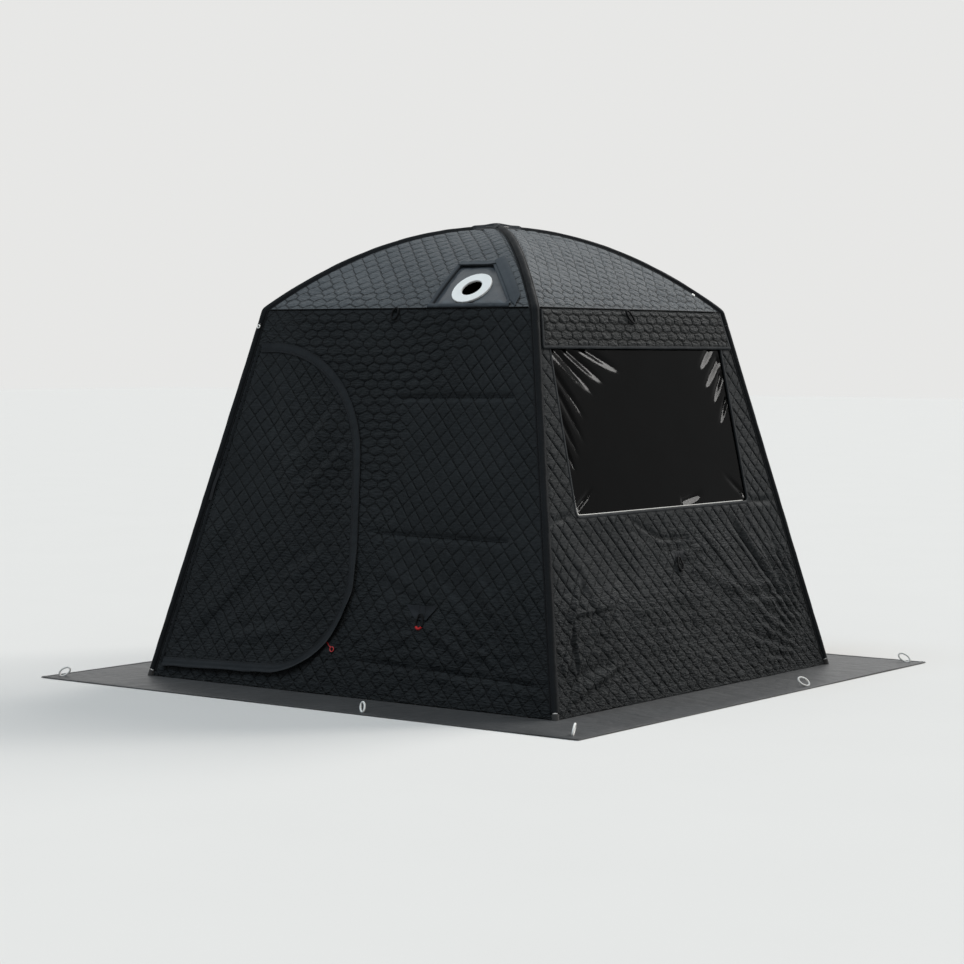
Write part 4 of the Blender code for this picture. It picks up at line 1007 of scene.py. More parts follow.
def front_shape(across, up):
    total = sag(across, up, 0.005) + layered(across, up, (0.0035, 0.30, 0.40, 3), (0.0018, 0.12, 0.15, 4))
    reaches = (0.44, 0.52, 0.66, 0.58, 0.82, 0.70, 0.95, 0.66, 0.84, 0.56, 0.72, 0.48)
    total = total + fan(across, up, (1.0, 0.015), 103, 174, reaches, 0.0052)
    total = total + fan(across, up, (-0.99, 0.02), 14, 4, (0.5, 0.4), 0.003)
    rows = unevenness(across, up + 0.04 * across, 0.16, 0.030, 6) + unevenness(across, up, 0.07, 0.022, 7)
    total = total + 0.0022 * rows * eased((0.42 - up) / 0.18)
    total = total + pinch(across, up, FRONT_SEAMS) + folds(across, up, FRONT_FOLDS)
    return total + dimple(across, up, LOOP_SPOTS["front"] + (0, 0.02))


def front_slack(across, up):
    """Slack beside the door and over it, and low down; taut in the upper right."""
    edge = 0.12 + 0.18 * eased((up - 1.15) / 0.12) + 0.16 * eased((up - 1.36) / 0.06)
    beside_door = 0.85 * eased((edge - across) / 0.12 + 0.5) * eased((up - 0.70) / 0.10)
    corner = np.exp(-(((across + 0.62) / 0.16) ** 2)) * eased((up - 1.40) / 0.05)
    low = 0.30 * eased((0.75 - up) / 0.15) * eased((0.75 - across) / 0.5 + 0.4)
    gap = np.clip(beside_door - 0.6 * corner + low, 0, 1)
    return gap + layered(across, up, (0.20, 0.11, 0.09, 78))


def patchy(across, up, seed, *shares):
    """The most of some shares, made a little uneven."""
    return np.maximum.reduce(shares) * (1 + 0.3 * unevenness(across, up, 0.12, 0.10, seed))


def front_rumple(across, up):
    """Crinkles beside the door, along the ground and into the lower right corner."""
    beside_door = eased((0.20 - across) / 0.15) * (0.55 + 0.45 * eased((0.75 - up) / 0.1))
    low = eased((0.46 - up) / 0.16)
    corner = eased((0.62 - np.hypot(across - 0.98, up)) / 0.25)
    over_door = 0.5 * eased((up - 1.18) / 0.08) * eased((0.45 - across) / 0.2)
    return patchy(across, up, 82, beside_door, low, corner, over_door)


def front_press(across, up):
    """The cloth is smooth in the corner over the door's hinge, and along the seams."""
    smooth = 1 - 0.8 * np.exp(-(((across + 0.60) / 0.11) ** 2)) * eased((up - 1.41) / 0.03)
    return smooth * sewn_flat(across, up, FRONT_SEAMS)


def uneven_stitching(across, up, amount, wide, seed):
    """Small shifts of the stitching, sideways and up."""
    return amount * np.stack([unevenness(across, up, wide, wide, seed + k) for k in (0, 1)], 1)


def front_warp(across, up):
    """Rows drawn together beside the door, and a little unevenness in the stitching."""
    drawn = 0.12 * (1.14 - np.maximum(up, 0.72)) * eased((0.42 - across) / 0.36) * eased(up / 0.6)
    return uneven_stitching(across, up, 0.0035, 0.16, 301) + np.stack([0 * drawn, drawn], 1)


door_hole = rounded_outline(DOOR_CORNERS, (0.0012, 0.006, 0.006, 0.006))
front_wall = quilted("front_wall_quilt", wall_place("front"), wall_outline(), wall_quilt, front_shape,
                     front_slack, 2, [door_hole], front_press, front_warp, front_rumple, fine=8)
fit(front_wall, "front", "quilted_fabric", "front_wall")
for order, seam in enumerate(FRONT_SEAMS):
    welt(f"front_wall_seam_{order + 1}", "front", seam, front_shape)

# Door. A D-shaped leaf of the same quilted cloth hangs from its seam beside the left corner. A
# zip runs round its three free sides, under a plain border that is sewn on the leaf and hangs
# free over the zip. The lower part of the border curls away from the wall.
door_outline = rounded_outline(DOOR_CORNERS)


DOOR_FOLDS = (
    ((-0.86, 0.16), (-0.48, 0.52), 0.045, 0.010), ((-0.90, 0.30), (-0.66, 0.74), 0.045, 0.007),
    ((-0.30, 0.28), (-0.66, 0.20), 0.035, 0.009), ((-0.16, 0.60), (-0.40, 0.46), 0.035, 0.008),
    ((-0.22, 1.20), (-0.44, 0.92), 0.040, 0.009), ((-0.12, 1.04), (-0.40, 0.80), 0.035, 0.008),
    ((-0.60, 1.30), (-0.50, 1.02), 0.045, 0.008), ((-0.52, 0.98), (-0.34, 0.66), 0.045, 0.008),
)


def door_shape(across, up):
    drape = layered(across, up, (0.004, 0.28, 0.35, 60), (0.002, 0.12, 0.14, 61))
    return drape - 0.006 * np.sin(math.pi * np.clip(up / SLANT, 0, 1)) + folds(across, up, DOOR_FOLDS)


def door_slack(across, up):
    """Taut beside the hinge, slack towards the zip."""
    edge = -0.55 + 0.15 * eased((up - 0.9) / 0.4)
    most = 0.28 + 0.45 * eased((up - 0.65) / 0.2)
    return most * eased((across - edge) / 0.30) + layered(across, up, (0.18, 0.11, 0.09, 79))


def door_rumple(across, up):
    return patchy(across, up, 83, 0.9 * eased((across + 0.60) / 0.30), 0.7 * eased((0.75 - up) / 0.2))


def door_warp(across, up):
    return uneven_stitching(across, up, 0.0030, 0.16, 303)


door = quilted("door_quilt", wall_place("front"), door_outline, wall_quilt, door_shape, door_slack, 5,
               warp=door_warp, rumple=door_rumple, margin=0.022, fine=8)
fit(door, "front", "quilted_fabric", "door_leaf", "door")
door_path = evened(np.roll(door_outline, -1, axis=0), 0.005)[1:-1]
BORDER_STEPS = np.linspace(-0.022, 0.018, 13)


def border_section(distance, spot):
    """The border's height over the wall: sewn flat inside, free and lifting outside."""
    low = eased((0.62 - spot[1]) / 0.16)
    bottom = eased((0.10 - spot[1]) / 0.03)
    free = np.clip(BORDER_STEPS / 0.018, 0, 1)
    bulge = np.clip(1 - ((BORDER_STEPS + 0.002) / 0.020) ** 2, 0, 1)
    puckers = 0.0006 * unevenness(BORDER_STEPS, distance, 0.02, 0.018, 90)
    waves = 0.5 + 0.5 * unevenness(0.0, distance, 1, 0.075, 91)
    curl = (0.0012 + low * (0.0060 + 0.0080 * waves)) * free**1.6
    flute = bottom * (0.002 + 0.006 * waves) * bulge
    ripple = 0.0009 * unevenness(0.0, distance, 1, 0.024, 92) * bulge
    out = 0.0058 + 0.0014 * eased((BORDER_STEPS + 0.012) / 0.010) + curl + flute + puckers + ripple
    return np.stack([BORDER_STEPS - 0.004 * low * free**2 * waves, out], 1)


# Its rows lie near both edges, so the painted groove shade also darkens the border along its inner and outer
# edges.
border_cloth = stitched_cloth("border_cloth", (0.0088, 0.0103, 0.0118), (0.0185, 0.0212, 0.0238),
                              rows=(0.0195, 0.0155))
border = strip("door_border", wall_place("front"), door_path, border_section, border_cloth, thickness=0.0012)
fit(border, "front", "plain_fabric", "door_storm_flap", "door", flat=(0.040, float(travelled(door_path)[-1])))
hinge_path = evened([hinge_spot(height) for height in DOOR_HEIGHTS], 0.01)
TAPE_SECTION = [(0.0050, 0.0032), (0.0070, 0.0038), (0.0100, 0.0040), (0.0130, 0.0038), (0.0152, 0.0032)]
hinge_tape = strip("door_hinge_tape", wall_place("front"), hinge_path, TAPE_SECTION, sleeve_cloth,
                   thickness=0.0009)
fit(hinge_tape, "front", "plain_fabric", flat=(0.0103, 1.34))

# Zip. Moulded teeth run between two narrow tapes round the door's free sides. A red slider with a
# ring pull sits in the lower round.
zip_black = hard_finish("zip_black", (0.012, 0.012, 0.013), 0.4, grain=1500.0)
slider_red = hard_finish("slider_red", (0.42, 0.020, 0.022), 0.38)
zip_path = evened(np.roll(rounded_outline(DOOR_CORNERS, (0, 0.003, 0.003, 0.003)), -1, axis=0), 0.0016)
TOOTH_HALF_SIZE = (0.00165, 0.00055, 0.0010)
TOOTH_QUADS = np.array([(0, 3, 2, 1), (4, 5, 6, 7), (0, 1, 5, 4), (1, 2, 6, 5), (2, 3, 7, 6), (3, 0, 4, 7)])
tooth = np.array([(a, b, c) for c in (-1, 1) for a, b in ((-1, -1), (1, -1), (1, 1), (-1, 1))], float)
points, faces = [], []
for k, (spot, way) in enumerate(zip(zip_path, headings(zip_path))):
    side = (1 if k % 2 else -1) * 0.00045
    sideways, along, out = (tooth * TOOTH_HALF_SIZE + (side, 0, 0.0002)).T
    across, up = spot[0] + sideways * way[1] + along * way[0], spot[1] - sideways * way[0] + along * way[1]
    points.append(wall_place("front")(across, up, out))
    faces.extend(TOOTH_QUADS + 8 * k)
points = np.concatenate(points)
teeth = cloth_piece("zip_teeth", points, np.array(faces).tolist(), np.zeros((len(points), 2)), zip_black)
teeth.data.shade_flat()
fit(teeth, "front", "moulded_plastic", "door_zip")
for name, start, end in (("inner", -0.0028, -0.0012), ("outer", 0.0012, 0.0028)):
    tape = strip(f"zip_tape_{name}", wall_place("front"), evened(zip_path, 0.008),
                 [(start, -0.0004), ((start + end) / 2, 0.0), (end, -0.0004)], zip_black, thickness=0.0007)
    fit(tape, "front", "webbing")
refinish("zip_slider", slider_red)

# Right wall. A wide window is cut in the quilted cloth, which is slack: drag creases run in from
# the lower corners, and the cloth lies in close level wrinkles near the ground.
WINDOW_CORNERS = [
    (wall_spot(-0.638, 1.385), 0.018), (wall_spot(-0.660, 0.728), 0.018),
    (wall_spot(0.618, 0.728), 0.018), (wall_spot(0.622, 1.385), 0.018),
]
window_outline = rounded_outline(WINDOW_CORNERS, spacing=0.002)
RIGHT_SEAMS = {
    "left": [(-0.852, 0.722), (-0.790, 0.733), (-0.720, 0.751), (-0.672, 0.756)],
    "right": [(0.630, 0.742), (0.840, 0.739)],
    "low": [(-0.362, 0.735), (-0.300, 0.716), (-0.200, 0.668), (-0.130, 0.637), (-0.060, 0.622),
            (0.100, 0.618)],
}
VALANCE_TALL = 0.155
VALANCE_TOP = SLANT - 0.006
VALANCE_LOW = VALANCE_TOP - VALANCE_TALL
RIGHT_FOLDS = (
    ((-0.33, 0.70), (-0.09, 0.60), 0.020, 0.004), ((-0.13, 0.60), (0.16, 0.59), 0.020, 0.004),
    ((-0.795, 0.38), (-0.842, 0.13), 0.010, 0.010), ((-0.815, 0.365), (-0.50, 0.385), 0.012, 0.008),
    ((-0.99, 0.03), (-0.81, 0.135), 0.030, -0.012), ((-0.86, 0.120), (-0.58, 0.165), 0.026, -0.012),
    ((0.45, 0.72), (0.74, 0.36), 0.028, 0.005), ((0.55, 0.72), (0.82, 0.34), 0.024, 0.005),
    ((0.02, 0.50), (0.42, 0.36), 0.030, 0.004), ((0.02, 0.52), (0.26, 0.57), 0.024, 0.004),
    ((0.18, 0.66), (0.44, 0.40), 0.030, 0.004), ((-0.74, 0.60), (-0.62, 0.34), 0.028, 0.004),
)


def right_shape(across, up):
    drape = layered(across, up, (0.005, 0.26, 0.30, 70), (0.0028, 0.11, 0.13, 71))
    low = np.clip((0.70 - up) / 0.25, 0, 1)
    total = sag(across, up, 0.006) + drape * (0.35 + 0.65 * low)
    rows = unevenness(across, up + 0.05 * across, 0.30, 0.038, 72)
    total = total + 0.0062 * rows * np.exp(-(((up - 0.30) / 0.15) ** 2))
    reaches = (0.55, 0.62, 0.75, 0.80, 0.95, 0.72, 0.88, 0.60, 0.76, 0.52)
    total = total + fan(across, up, (1.0, 0.02), 98, 172, reaches, 0.0068)
    total = total + fan(across, up, (-1.0, 0.02), 16, 80, (0.6, 0.8, 0.66, 0.5), 0.008)
    total = total + pinch(across, up, RIGHT_SEAMS.values()) + folds(across, up, RIGHT_FOLDS)
    return total + dimple(across, up, LOOP_SPOTS["right"] + (-0.01, 0.03))


def right_slack(across, up):
    low = eased((0.55 - up) / 0.25)
    middle = np.exp(-(((across - 0.15) / 0.35) ** 2)) * eased((0.75 - up) / 0.2)
    return 0.06 + 0.26 * low + 0.10 * middle + layered(across, up, (0.20, 0.12, 0.08, 80))


def right_rumple(across, up):
    """Crinkles along the ground, in the middle below the window, and into the lower right corner."""
    low = eased((0.50 - up) / 0.16)
    middle = 0.7 * np.exp(-(((across - 0.15) / 0.35) ** 2)) * eased((0.75 - up) / 0.2)
    corner = eased((0.70 - np.hypot(across - 0.98, up)) / 0.25)
    return patchy(across, up, 84, low, middle, corner)


def right_warp(across, up):
    """The stitching is drawn towards the lower right corner and bent at the lower left one."""
    low = eased((1.0 - up) / 0.8)
    right = eased((across - 0.05) / 0.8)
    x = 0.050 * low * np.sin(math.pi * np.clip((across - 0.05) / 0.95, 0, 1))
    y = -0.24 * right**2 * up * np.clip(1 - up / 0.75, 0, 1)
    left = eased((-0.40 - across) / 0.5)
    y = y - 0.10 * left**2 * up * np.clip(1 - up / 0.70, 0, 1)
    x = x - 0.020 * low * np.sin(math.pi * np.clip((-across - 0.35) / 0.65, 0, 1))
    return np.stack([x, y], 1) + uneven_stitching(across, up, 0.0035, 0.15, 305)


def under_valance(across, up):
    """The valance presses the puffs behind it nearly flat, and the seams hold them down."""
    return (1 - 0.85 * eased((up - VALANCE_LOW + 0.02) / 0.02)) * sewn_flat(across, up, RIGHT_SEAMS.values())


right_wall = quilted("right_wall_quilt", wall_place("right"), wall_outline(), wall_quilt, right_shape,
                     right_slack, 8, [window_outline], under_valance, right_warp, right_rumple, fine=8)
fit(right_wall, "right", "quilted_fabric", "right_wall")
for name, points in RIGHT_SEAMS.items():
    welt(f"right_wall_seam_{name}", "right", points, right_shape)

# Window. A pane of thick clear vinyl is sewn behind the wall, pulled tight enough to crease into
# its corners. The wall's edge is bound in plain cloth, with a pale piping low down.
# The clear pane is coloured nearly black and nearly opaque: painted shade that stands for the dark inside of
# the tent seen through the vinyl.
vinyl_painted_dark, tree, shader = finish("vinyl_painted_dark", Specular_IOR_Level=0.036, Alpha=0.97)
place, _, _ = surface_place(tree)
haze = noise(tree, place, 6.0, 4.0, 0.6)
feed(shader, "Base Color", tinted(tree, haze, (0.0005, 0.0006, 0.0007), (0.0016, 0.0018, 0.0020)))
feed(shader, "Roughness", haze.spread(0.045, 0.085))
drawn_out = node(tree, "ShaderNodeMapping", {}, {"Vector": place, "Scale": (1.0, 2.0, 1.0)})
waver = noise(tree, drawn_out, 9.0, 2.0)
feed(shader, "Normal", bumped(tree, waver, 0.12, 0.0020))
PANE_CREASES = (
    ((-0.635, 1.420), (-0.360, 1.200), 0.012), ((-0.560, 1.418), (-0.280, 1.250), 0.010),
    ((-0.450, 1.420), (-0.150, 1.302), 0.010), ((-0.650, 1.330), (-0.466, 1.106), 0.010),
    ((-0.640, 1.250), (-0.500, 1.006), 0.009), ((-0.650, 1.150), (-0.560, 0.958), 0.008),
    ((-0.655, 1.030), (-0.606, 0.908), 0.007), ((0.560, 1.420), (0.420, 1.312), 0.010),
    ((0.610, 1.370), (0.430, 1.226), 0.010), ((0.615, 1.310), (0.480, 1.158), 0.010),
    ((0.618, 1.200), (0.506, 1.068), 0.008), ((0.615, 0.770), (0.460, 0.880), 0.008),
    ((-0.655, 0.770), (-0.500, 0.860), 0.007), ((0.10, 0.765), (0.30, 0.80), 0.010),
)


def pane_out(across, up):
    """The pane sinks in the middle, and each crease is a groove that fades towards its inner end."""
    middle = np.clip(1 - (across / 0.62) ** 2, 0, 1) * np.clip(1 - ((up - 1.083) / 0.33) ** 2, 0, 1)
    out = -0.0036 - 0.0025 * middle - 0.0002 * (1 + unevenness(across, up, 0.16, 0.12, 95))
    for start, end, width in PANE_CREASES:
        along, side, length = beside_line(across, up, start, end)
        along, side = along / length, side / (1.5 * width)
        out = out - 0.0042 * np.exp(-side * side) * eased(np.minimum(along * 6, 1 - along) * 1.6)
    return out


def cut_square_grid(low, high, spacing, outline, holes=()):
    """A square grid of cloth between two corners, cut to an outline and round its holes."""
    x, y = np.meshgrid(np.arange(low[0], high[0], spacing), np.arange(low[1], high[1], spacing))
    number = np.arange(x.size).reshape(x.shape)
    quads = np.stack([number[:-1, :-1], number[:-1, 1:], number[1:, 1:], number[1:, :-1]], -1).reshape(-1, 4)
    return cut_sheet(np.stack([x.ravel(), y.ravel()], 1), quads, outline, holes, spacing)[:2]


pane_edge = rounded_outline(WINDOW_CORNERS, (0.017,), 0.004)
spots, faces = cut_square_grid((-0.69, 0.71), (0.66, 1.45), 0.005, pane_edge)
pane_points = wall_place("right")(*spots.T, pane_out(*spots.T))
pane = cloth_piece("window_vinyl", pane_points, faces, spots, vinyl_painted_dark, 0.0008)
fit(pane, "right", "clear_vinyl", "window_pane", flat=(1.32, 0.71), area=0.90)
BINDING_SECTION = [(-0.0012, -0.0024), (-0.0018, 0.0012), (-0.0006, 0.0036), (0.004, 0.0040), (0.009, 0.0038),
                   (0.010, 0.0030)]
binding = strip("window_binding", wall_place("right"), evened(window_outline, 0.006, True), BINDING_SECTION,
                border_cloth, closed=True, thickness=0.0009)
fit(binding, "right", "plain_fabric", flat=(0.017, 3.87))
low_left, low_right = WINDOW_CORNERS[1][0], WINDOW_CORNERS[2][0]
round_corner = [(0.006, 0.150), (0.004, 0.080), (0.004, 0.026), (0.012, 0.009), (0.032, 0.004),
                (0.30, 0.0035)]
piping_path = smooth_path([low_left + step for step in round_corner]
                          + [low_right + (back, 0.0035) for back in (-0.50, -0.20, -0.04)], 220)
piping_points = wall_place("right")(*piping_path.T, 0.0012)
fit(round_cord("window_piping", piping_points, 0.0017, peg_cord, sides=8), "right", "webbing")

# Window valance. A band of hexagonally quilted cloth is sewn along the eave, hangs over the top
# of the window, and lifts about its seam. Its free edges are bound.
VALANCE_EDGE = 0.0285
VALANCE_CELL = 0.066
valance_quilt = quilt_finish("valance_quilt", (0.0192, 0.0205, 0.0210), (0.0480, 0.0502, 0.0512),
                             tall=VALANCE_CELL)
valance_low, valance_high = wall_half(VALANCE_LOW) - VALANCE_EDGE, wall_half(VALANCE_TOP) - VALANCE_EDGE
valance_outline = [(-valance_low, VALANCE_LOW), (valance_low, VALANCE_LOW),
                   (valance_high, VALANCE_TOP), (-valance_high, VALANCE_TOP)]


def valance_shape(across, up):
    hang = np.clip((VALANCE_TOP - up) / VALANCE_TALL, 0, 1)
    billow = 0.0016 + 0.0022 * unevenness(across, up, 0.10, 0.5, 85)
    return hang * billow + 0.0008 * unevenness(across, up, 0.05, 0.06, 86)


def valance_slack(across, up):
    return 0.92 + 0.06 * unevenness(across, up, 0.1, 0.1, 87)


valance = quilted("valance_quilt", wall_place("right"), valance_outline, valance_quilt, valance_shape,
                  valance_slack, 9, tall=VALANCE_CELL, puff=0.0046, groove=0.0095, jitter=0.0012,
                  top=0.0125, rim=0.0085, margin=0.004, thickness=0.0014, fine=10)
fit(valance, "right", "quilted_fabric", "window_valance", "valance")


def valance_hem(distance, spot):
    rise = 0.0105 + float(valance_shape(*spot))
    return [(-0.010, rise - 0.0010), (-0.004, rise), (0.001, rise - 0.0008), (0.0022, rise - 0.0035),
            (0.001, rise - 0.0062)]


hem_path = evened(np.roll(valance_outline, 1, axis=0), 0.006)
hem = strip("valance_hem", wall_place("right"), hem_path, valance_hem, border_cloth, thickness=0.0009)
fit(hem, "right", "plain_fabric", body="valance", flat=(0.017, 1.68))

# Roof. Four quilted sides arch from the hub down to the eave, where each is seamed to its wall
# over a thin welt. The front one has a hole for the flue panel.
# The roof is the walls' quilted cloth; its colour is painted several times lighter than theirs to stand for
# the light that grazes the roof.
roof_quilt_painted_lighter = quilt_finish("roof_quilt_painted_lighter", (0.0615, 0.0680, 0.0735), (0.150, 0.1585, 0.1645), sheen=0.10)
reach_table = np.linspace(0, EAVE_HALF, 400)
arc_table = travelled(np.stack([reach_table, ROOF_CURVE * reach_table**2], 1))
ROOF_ARC = arc_table[-1]


def reach_at(up):
    """Distance out from the axis at a place up the roof from the eave."""
    return np.interp(ROOF_ARC - np.asarray(up, float), arc_table, reach_table)


def up_at(reach):
    return ROOF_ARC - np.interp(reach, reach_table, arc_table)


def roof_place(side):
    """Turns across, up the arch from the eave and outward into the tent's frame."""
    def place(across, up, out):
        reach = reach_at(up)
        steep = 2 * ROOF_CURVE * reach
        length = np.hypot(1, steep)
        height = RIDGE_TOP - ROOF_CURVE * reach**2 + out / length
        return on_side(side, across, -(reach + out * steep / length), height)
    return place


def roof_outline():
    reaches = np.linspace(EAVE_HALF - 0.0008, 0.074, 26)
    right = [(reach - 0.0158, float(up_at(reach))) for reach in reaches]
    return [(-x, up) for x, up in right[::-1]] + right


def roof_shape(seed):
    def shape(across, up):
        reach = reach_at(up)
        drape = layered(across, up, (0.004, 0.26, 0.24, seed), (0.002, 0.10, 0.10, seed + 1))
        hang = -0.010 * np.clip(1 - (across / np.maximum(reach, 0.08)) ** 2, 0, 1) * np.clip(up / 0.25, 0, 1)
        right = fan(across, up, (0.66, 0.01), 150, 172, (0.36, 0.42), 0.004)
        left = fan(across, up, (-0.66, 0.01), 30, 9, (0.40, 0.36), 0.004)
        return drape + hang + right + left
    return shape


FLUE_UPPER, FLUE_LOWER = 0.474, 0.677
FLUE_LEFT, FLUE_UPPER_RIGHT, FLUE_LOWER_RIGHT = 0.172, 0.334, 0.559
FLUE_PLAN = [
    ((FLUE_LEFT, -FLUE_UPPER), 0.012), ((FLUE_LEFT, -FLUE_LOWER), 0.012),
    ((FLUE_LOWER_RIGHT, -FLUE_LOWER), 0.012), ((FLUE_UPPER_RIGHT, -FLUE_UPPER), 0.012),
]


def flue_edge(grow):
    plan = rounded_outline(FLUE_PLAN, (grow,), 0.003)
    return np.stack([plan[:, 0], up_at(-plan[:, 1])], 1)


def near_flue(across, up):
    gap, _ = outline_gap(np.stack([np.ravel(across), np.ravel(up)], 1), flue_edge(0.0))
    return np.clip(gap.reshape(np.shape(across)) / 0.05, 0.25, 1)


def roof_slack(across, up):
    return 0.30 + 0.5 * eased((0.25 - up) / 0.2) + 0.15 * unevenness(across, up, 0.1, 0.1, 81)


for order, side in enumerate(SIDES):
    opening = {"holes": [flue_edge(0.0)], "press": near_flue} if side == "front" else {}
    gore = quilted(side + "_roof_quilt_painted_lighter", roof_place(side), roof_outline(), roof_quilt_painted_lighter,
                   roof_shape(100 + 7 * order), roof_slack, 12 + order, fine=7, **opening)
    fit(gore, side, "quilted_fabric", side + "_gore")
    ends = EAVE_HALF - 0.034
    eave = on_side(side, np.linspace(-ends, ends, 120), -EAVE_HALF - 0.0030, EAVE_HEIGHT + 0.0022)
    # The eave welt is coloured near black as painted shade along the eave seam.
    piping = round_cord(side + "_eave_welt", eave, 0.0024, welt_cloth_painted_shade, sides=8)
    fit(piping, side, "quilted_fabric")

# Flue port. Coated heat-proof cloth fills the opening in the front roof, hemmed all round, with a
# moulded silicone ring for the chimney. Its cover is folded in a flat strip along the sloping side.
heat_cloth, tree, shader = finish("heat_cloth", Coat_Weight=0.25, Coat_Roughness=0.35)
place, _, _ = surface_place(tree)
weave = noise(tree, place, 900.0, 1.0)
cloudy = noise(tree, place, 9.0, 4.0, 0.6)
feed(shader, "Base Color", tinted(tree, cloudy, (0.026, 0.0315, 0.0375), (0.062, 0.0715, 0.0820)))
feed(shader, "Roughness", cloudy.spread(0.34, 0.52))
creased = bumped(tree, noise(tree, place, 30.0, 3.0), 0.6, 0.003)
feed(shader, "Normal", bumped(tree, weave, 0.3, 0.0004, creased))
flap_cloth = plain_weave("flap_cloth", (0.032, 0.0375, 0.0430), (0.062, 0.0700, 0.0780), 0.8)
FLUE_CENTRE = (0.32416, 0.60449)
FLUE_HOLE_RADIUS = 0.0455
flue_middle = np.array([FLUE_CENTRE[0], float(up_at(FLUE_CENTRE[1]))])


def ring_of(middle, radius, count):
    """Places round a circle on a surface."""
    turns = np.linspace(0, math.tau, count, endpoint=False)
    return middle + radius * np.stack([np.cos(turns), np.sin(turns)], 1)


panel_edge = flue_edge(0.012)
spots, faces = cut_square_grid(panel_edge.min(0) - 0.01, panel_edge.max(0) + 0.01, 0.006, panel_edge,
                               [ring_of(flue_middle, FLUE_HOLE_RADIUS, 60)])
buckles = layered(*spots.T, (0.0016, 0.07, 0.05, 110), (0.0010, 0.02, 0.03, 111))
from_middle = np.hypot(*(spots - flue_middle).T)
to_edge, _ = outline_gap(spots, flue_edge(0.0))
buckles = buckles * eased((from_middle - 0.080) / 0.03) - 0.006 * eased((to_edge + 0.030) / 0.020)
panel_points = roof_place("front")(*spots.T, -0.0036 + buckles)
flue_panel = cloth_piece("flue_panel_cloth", panel_points, faces, spots, heat_cloth, 0.0012)
fit(flue_panel, "front", "heat_cloth", "flue_panel", flat=(0.46, 0.30), area=0.105)
flue_hem = strip("flue_hem", roof_place("front"), evened(flue_edge(0.0), 0.006, True),
                 [(-0.003, -0.0060), (-0.0040, 0.0002), (-0.0025, 0.0040), (0.003, 0.0050), (0.010, 0.0046),
                  (0.012, 0.0028)], flap_cloth, closed=True, thickness=0.0010)
fit(flue_hem, "front", "plain_fabric", flat=(0.024, 1.13))
top_up = float(up_at(FLUE_UPPER))
share = np.linspace(0, 1, 34)
cover_sag = 0.005 * np.sin(math.pi * share) + 0.0025 * unevenness(share, 0, 0.22, 1, 113)
cover_path = np.stack([0.166 + 0.186 * share, top_up - cover_sag], 1)


def cover_section(distance, spot):
    wave = 0.0022 * unevenness(0.0, distance, 1, 0.045, 112)
    return [(-0.016, 0.0046), (-0.008, 0.0058 + wave), (0.0, 0.0070 + wave), (0.008, 0.0094 + wave),
            (0.012, 0.0090 + wave)]


cover = strip("flue_top_strip", roof_place("front"), cover_path, cover_section, flap_cloth, thickness=0.0012)
fit(cover, "front", "plain_fabric", flat=(0.030, 0.186))


def over_eave(across, up, out):
    """Like the front roof's place, carried on down the wall below the eave."""
    on_wall = wall_place("front")(across, SLANT + np.minimum(up, 0), out)
    return np.where(np.asarray(up)[..., None] < 0, on_wall, roof_place("front")(across, up, out))


def sill_section(distance, spot):
    """A puffy roll of hem."""
    around = np.linspace(0, math.pi, 13)
    puff = 1 + 0.22 * unevenness(np.cos(around), distance, 1.0, 0.022, 116)
    return np.stack([0.0105 * np.cos(around[::-1]), 0.0030 + 0.0088 * puff * np.sin(around)], 1)


sill_up = float(up_at(0.680))
sill_path = evened([(0.166, sill_up), (0.566, sill_up)], 0.004)
sill = strip("flue_sill", over_eave, sill_path, sill_section, flap_cloth, thickness=0.0010)
fit(sill, "front", "plain_fabric", flat=(0.030, 0.400))

silicone = hard_finish("silicone_ring", (0.88, 0.88, 0.86), 0.5, grain=500.0)
cad_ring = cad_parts["flue_ring"]
ring = bpy.data.objects.new("flue_ring_silicone", cad_ring.data.copy())
ring.matrix_world = cad_ring.matrix_world.copy()
bpy.context.scene.collection.objects.link(ring)
ring.data.materials.clear()
ring.data.materials.append(silicone)
fit(ring, "front", "silicone", "flue_ring")

low_corner = np.array([FLUE_LOWER_RIGHT, FLUE_LOWER])
high_corner = np.array([FLUE_UPPER_RIGHT, FLUE_UPPER])
roll_way = unit(high_corner - low_corner)
roll_out = np.array([-roll_way[1], roll_way[0]])
roll_out = roll_out * np.sign(roll_out[0])
roll_middle = roll_out * (0.005 + 0.023)
plan_path = evened([low_corner + roll_middle, high_corner + roll_middle], 0.004)
roll_path = np.stack([plan_path[:, 0], up_at(plan_path[:, 1])], 1)
first_way = unit(roll_path[0] - roll_path[6])
roll_path = np.concatenate([roll_path[0] + first_way * np.arange(0.044, 0.001, -0.004)[:, None], roll_path])
turns = np.linspace(0, math.tau, 33)


def roll_section(distance, spot):
    """A pressed roll with the loose outer lap along its top, which runs out in a point."""
    bump = unevenness(np.cos(turns), distance + 0.3 * np.sin(turns), 0.6, 0.035, 115)
    lap = 0.0012 * eased((np.cos(turns) - 0.1) / 0.15) * (np.sin(turns) > 0)
    point = 0.12 + 0.88 * eased(distance / 0.055)
    wide = (0.0230 + 0.0005 * bump) * point
    tall = (0.0040 + 0.0006 * bump) * (0.5 + 0.5 * point)
    sideways = wide * np.cos(turns) - 0.012 * (1 - point)
    return np.stack([sideways, 0.0082 + tall * np.sin(turns) + lap * point], 1)


flap_roll = strip("flue_flap_roll", over_eave, roll_path, roll_section, flap_cloth)
mend(flap_roll, 0.00002, close_ends=True)
fit(flap_roll, "front", "quilted_fabric", "flue_flap")

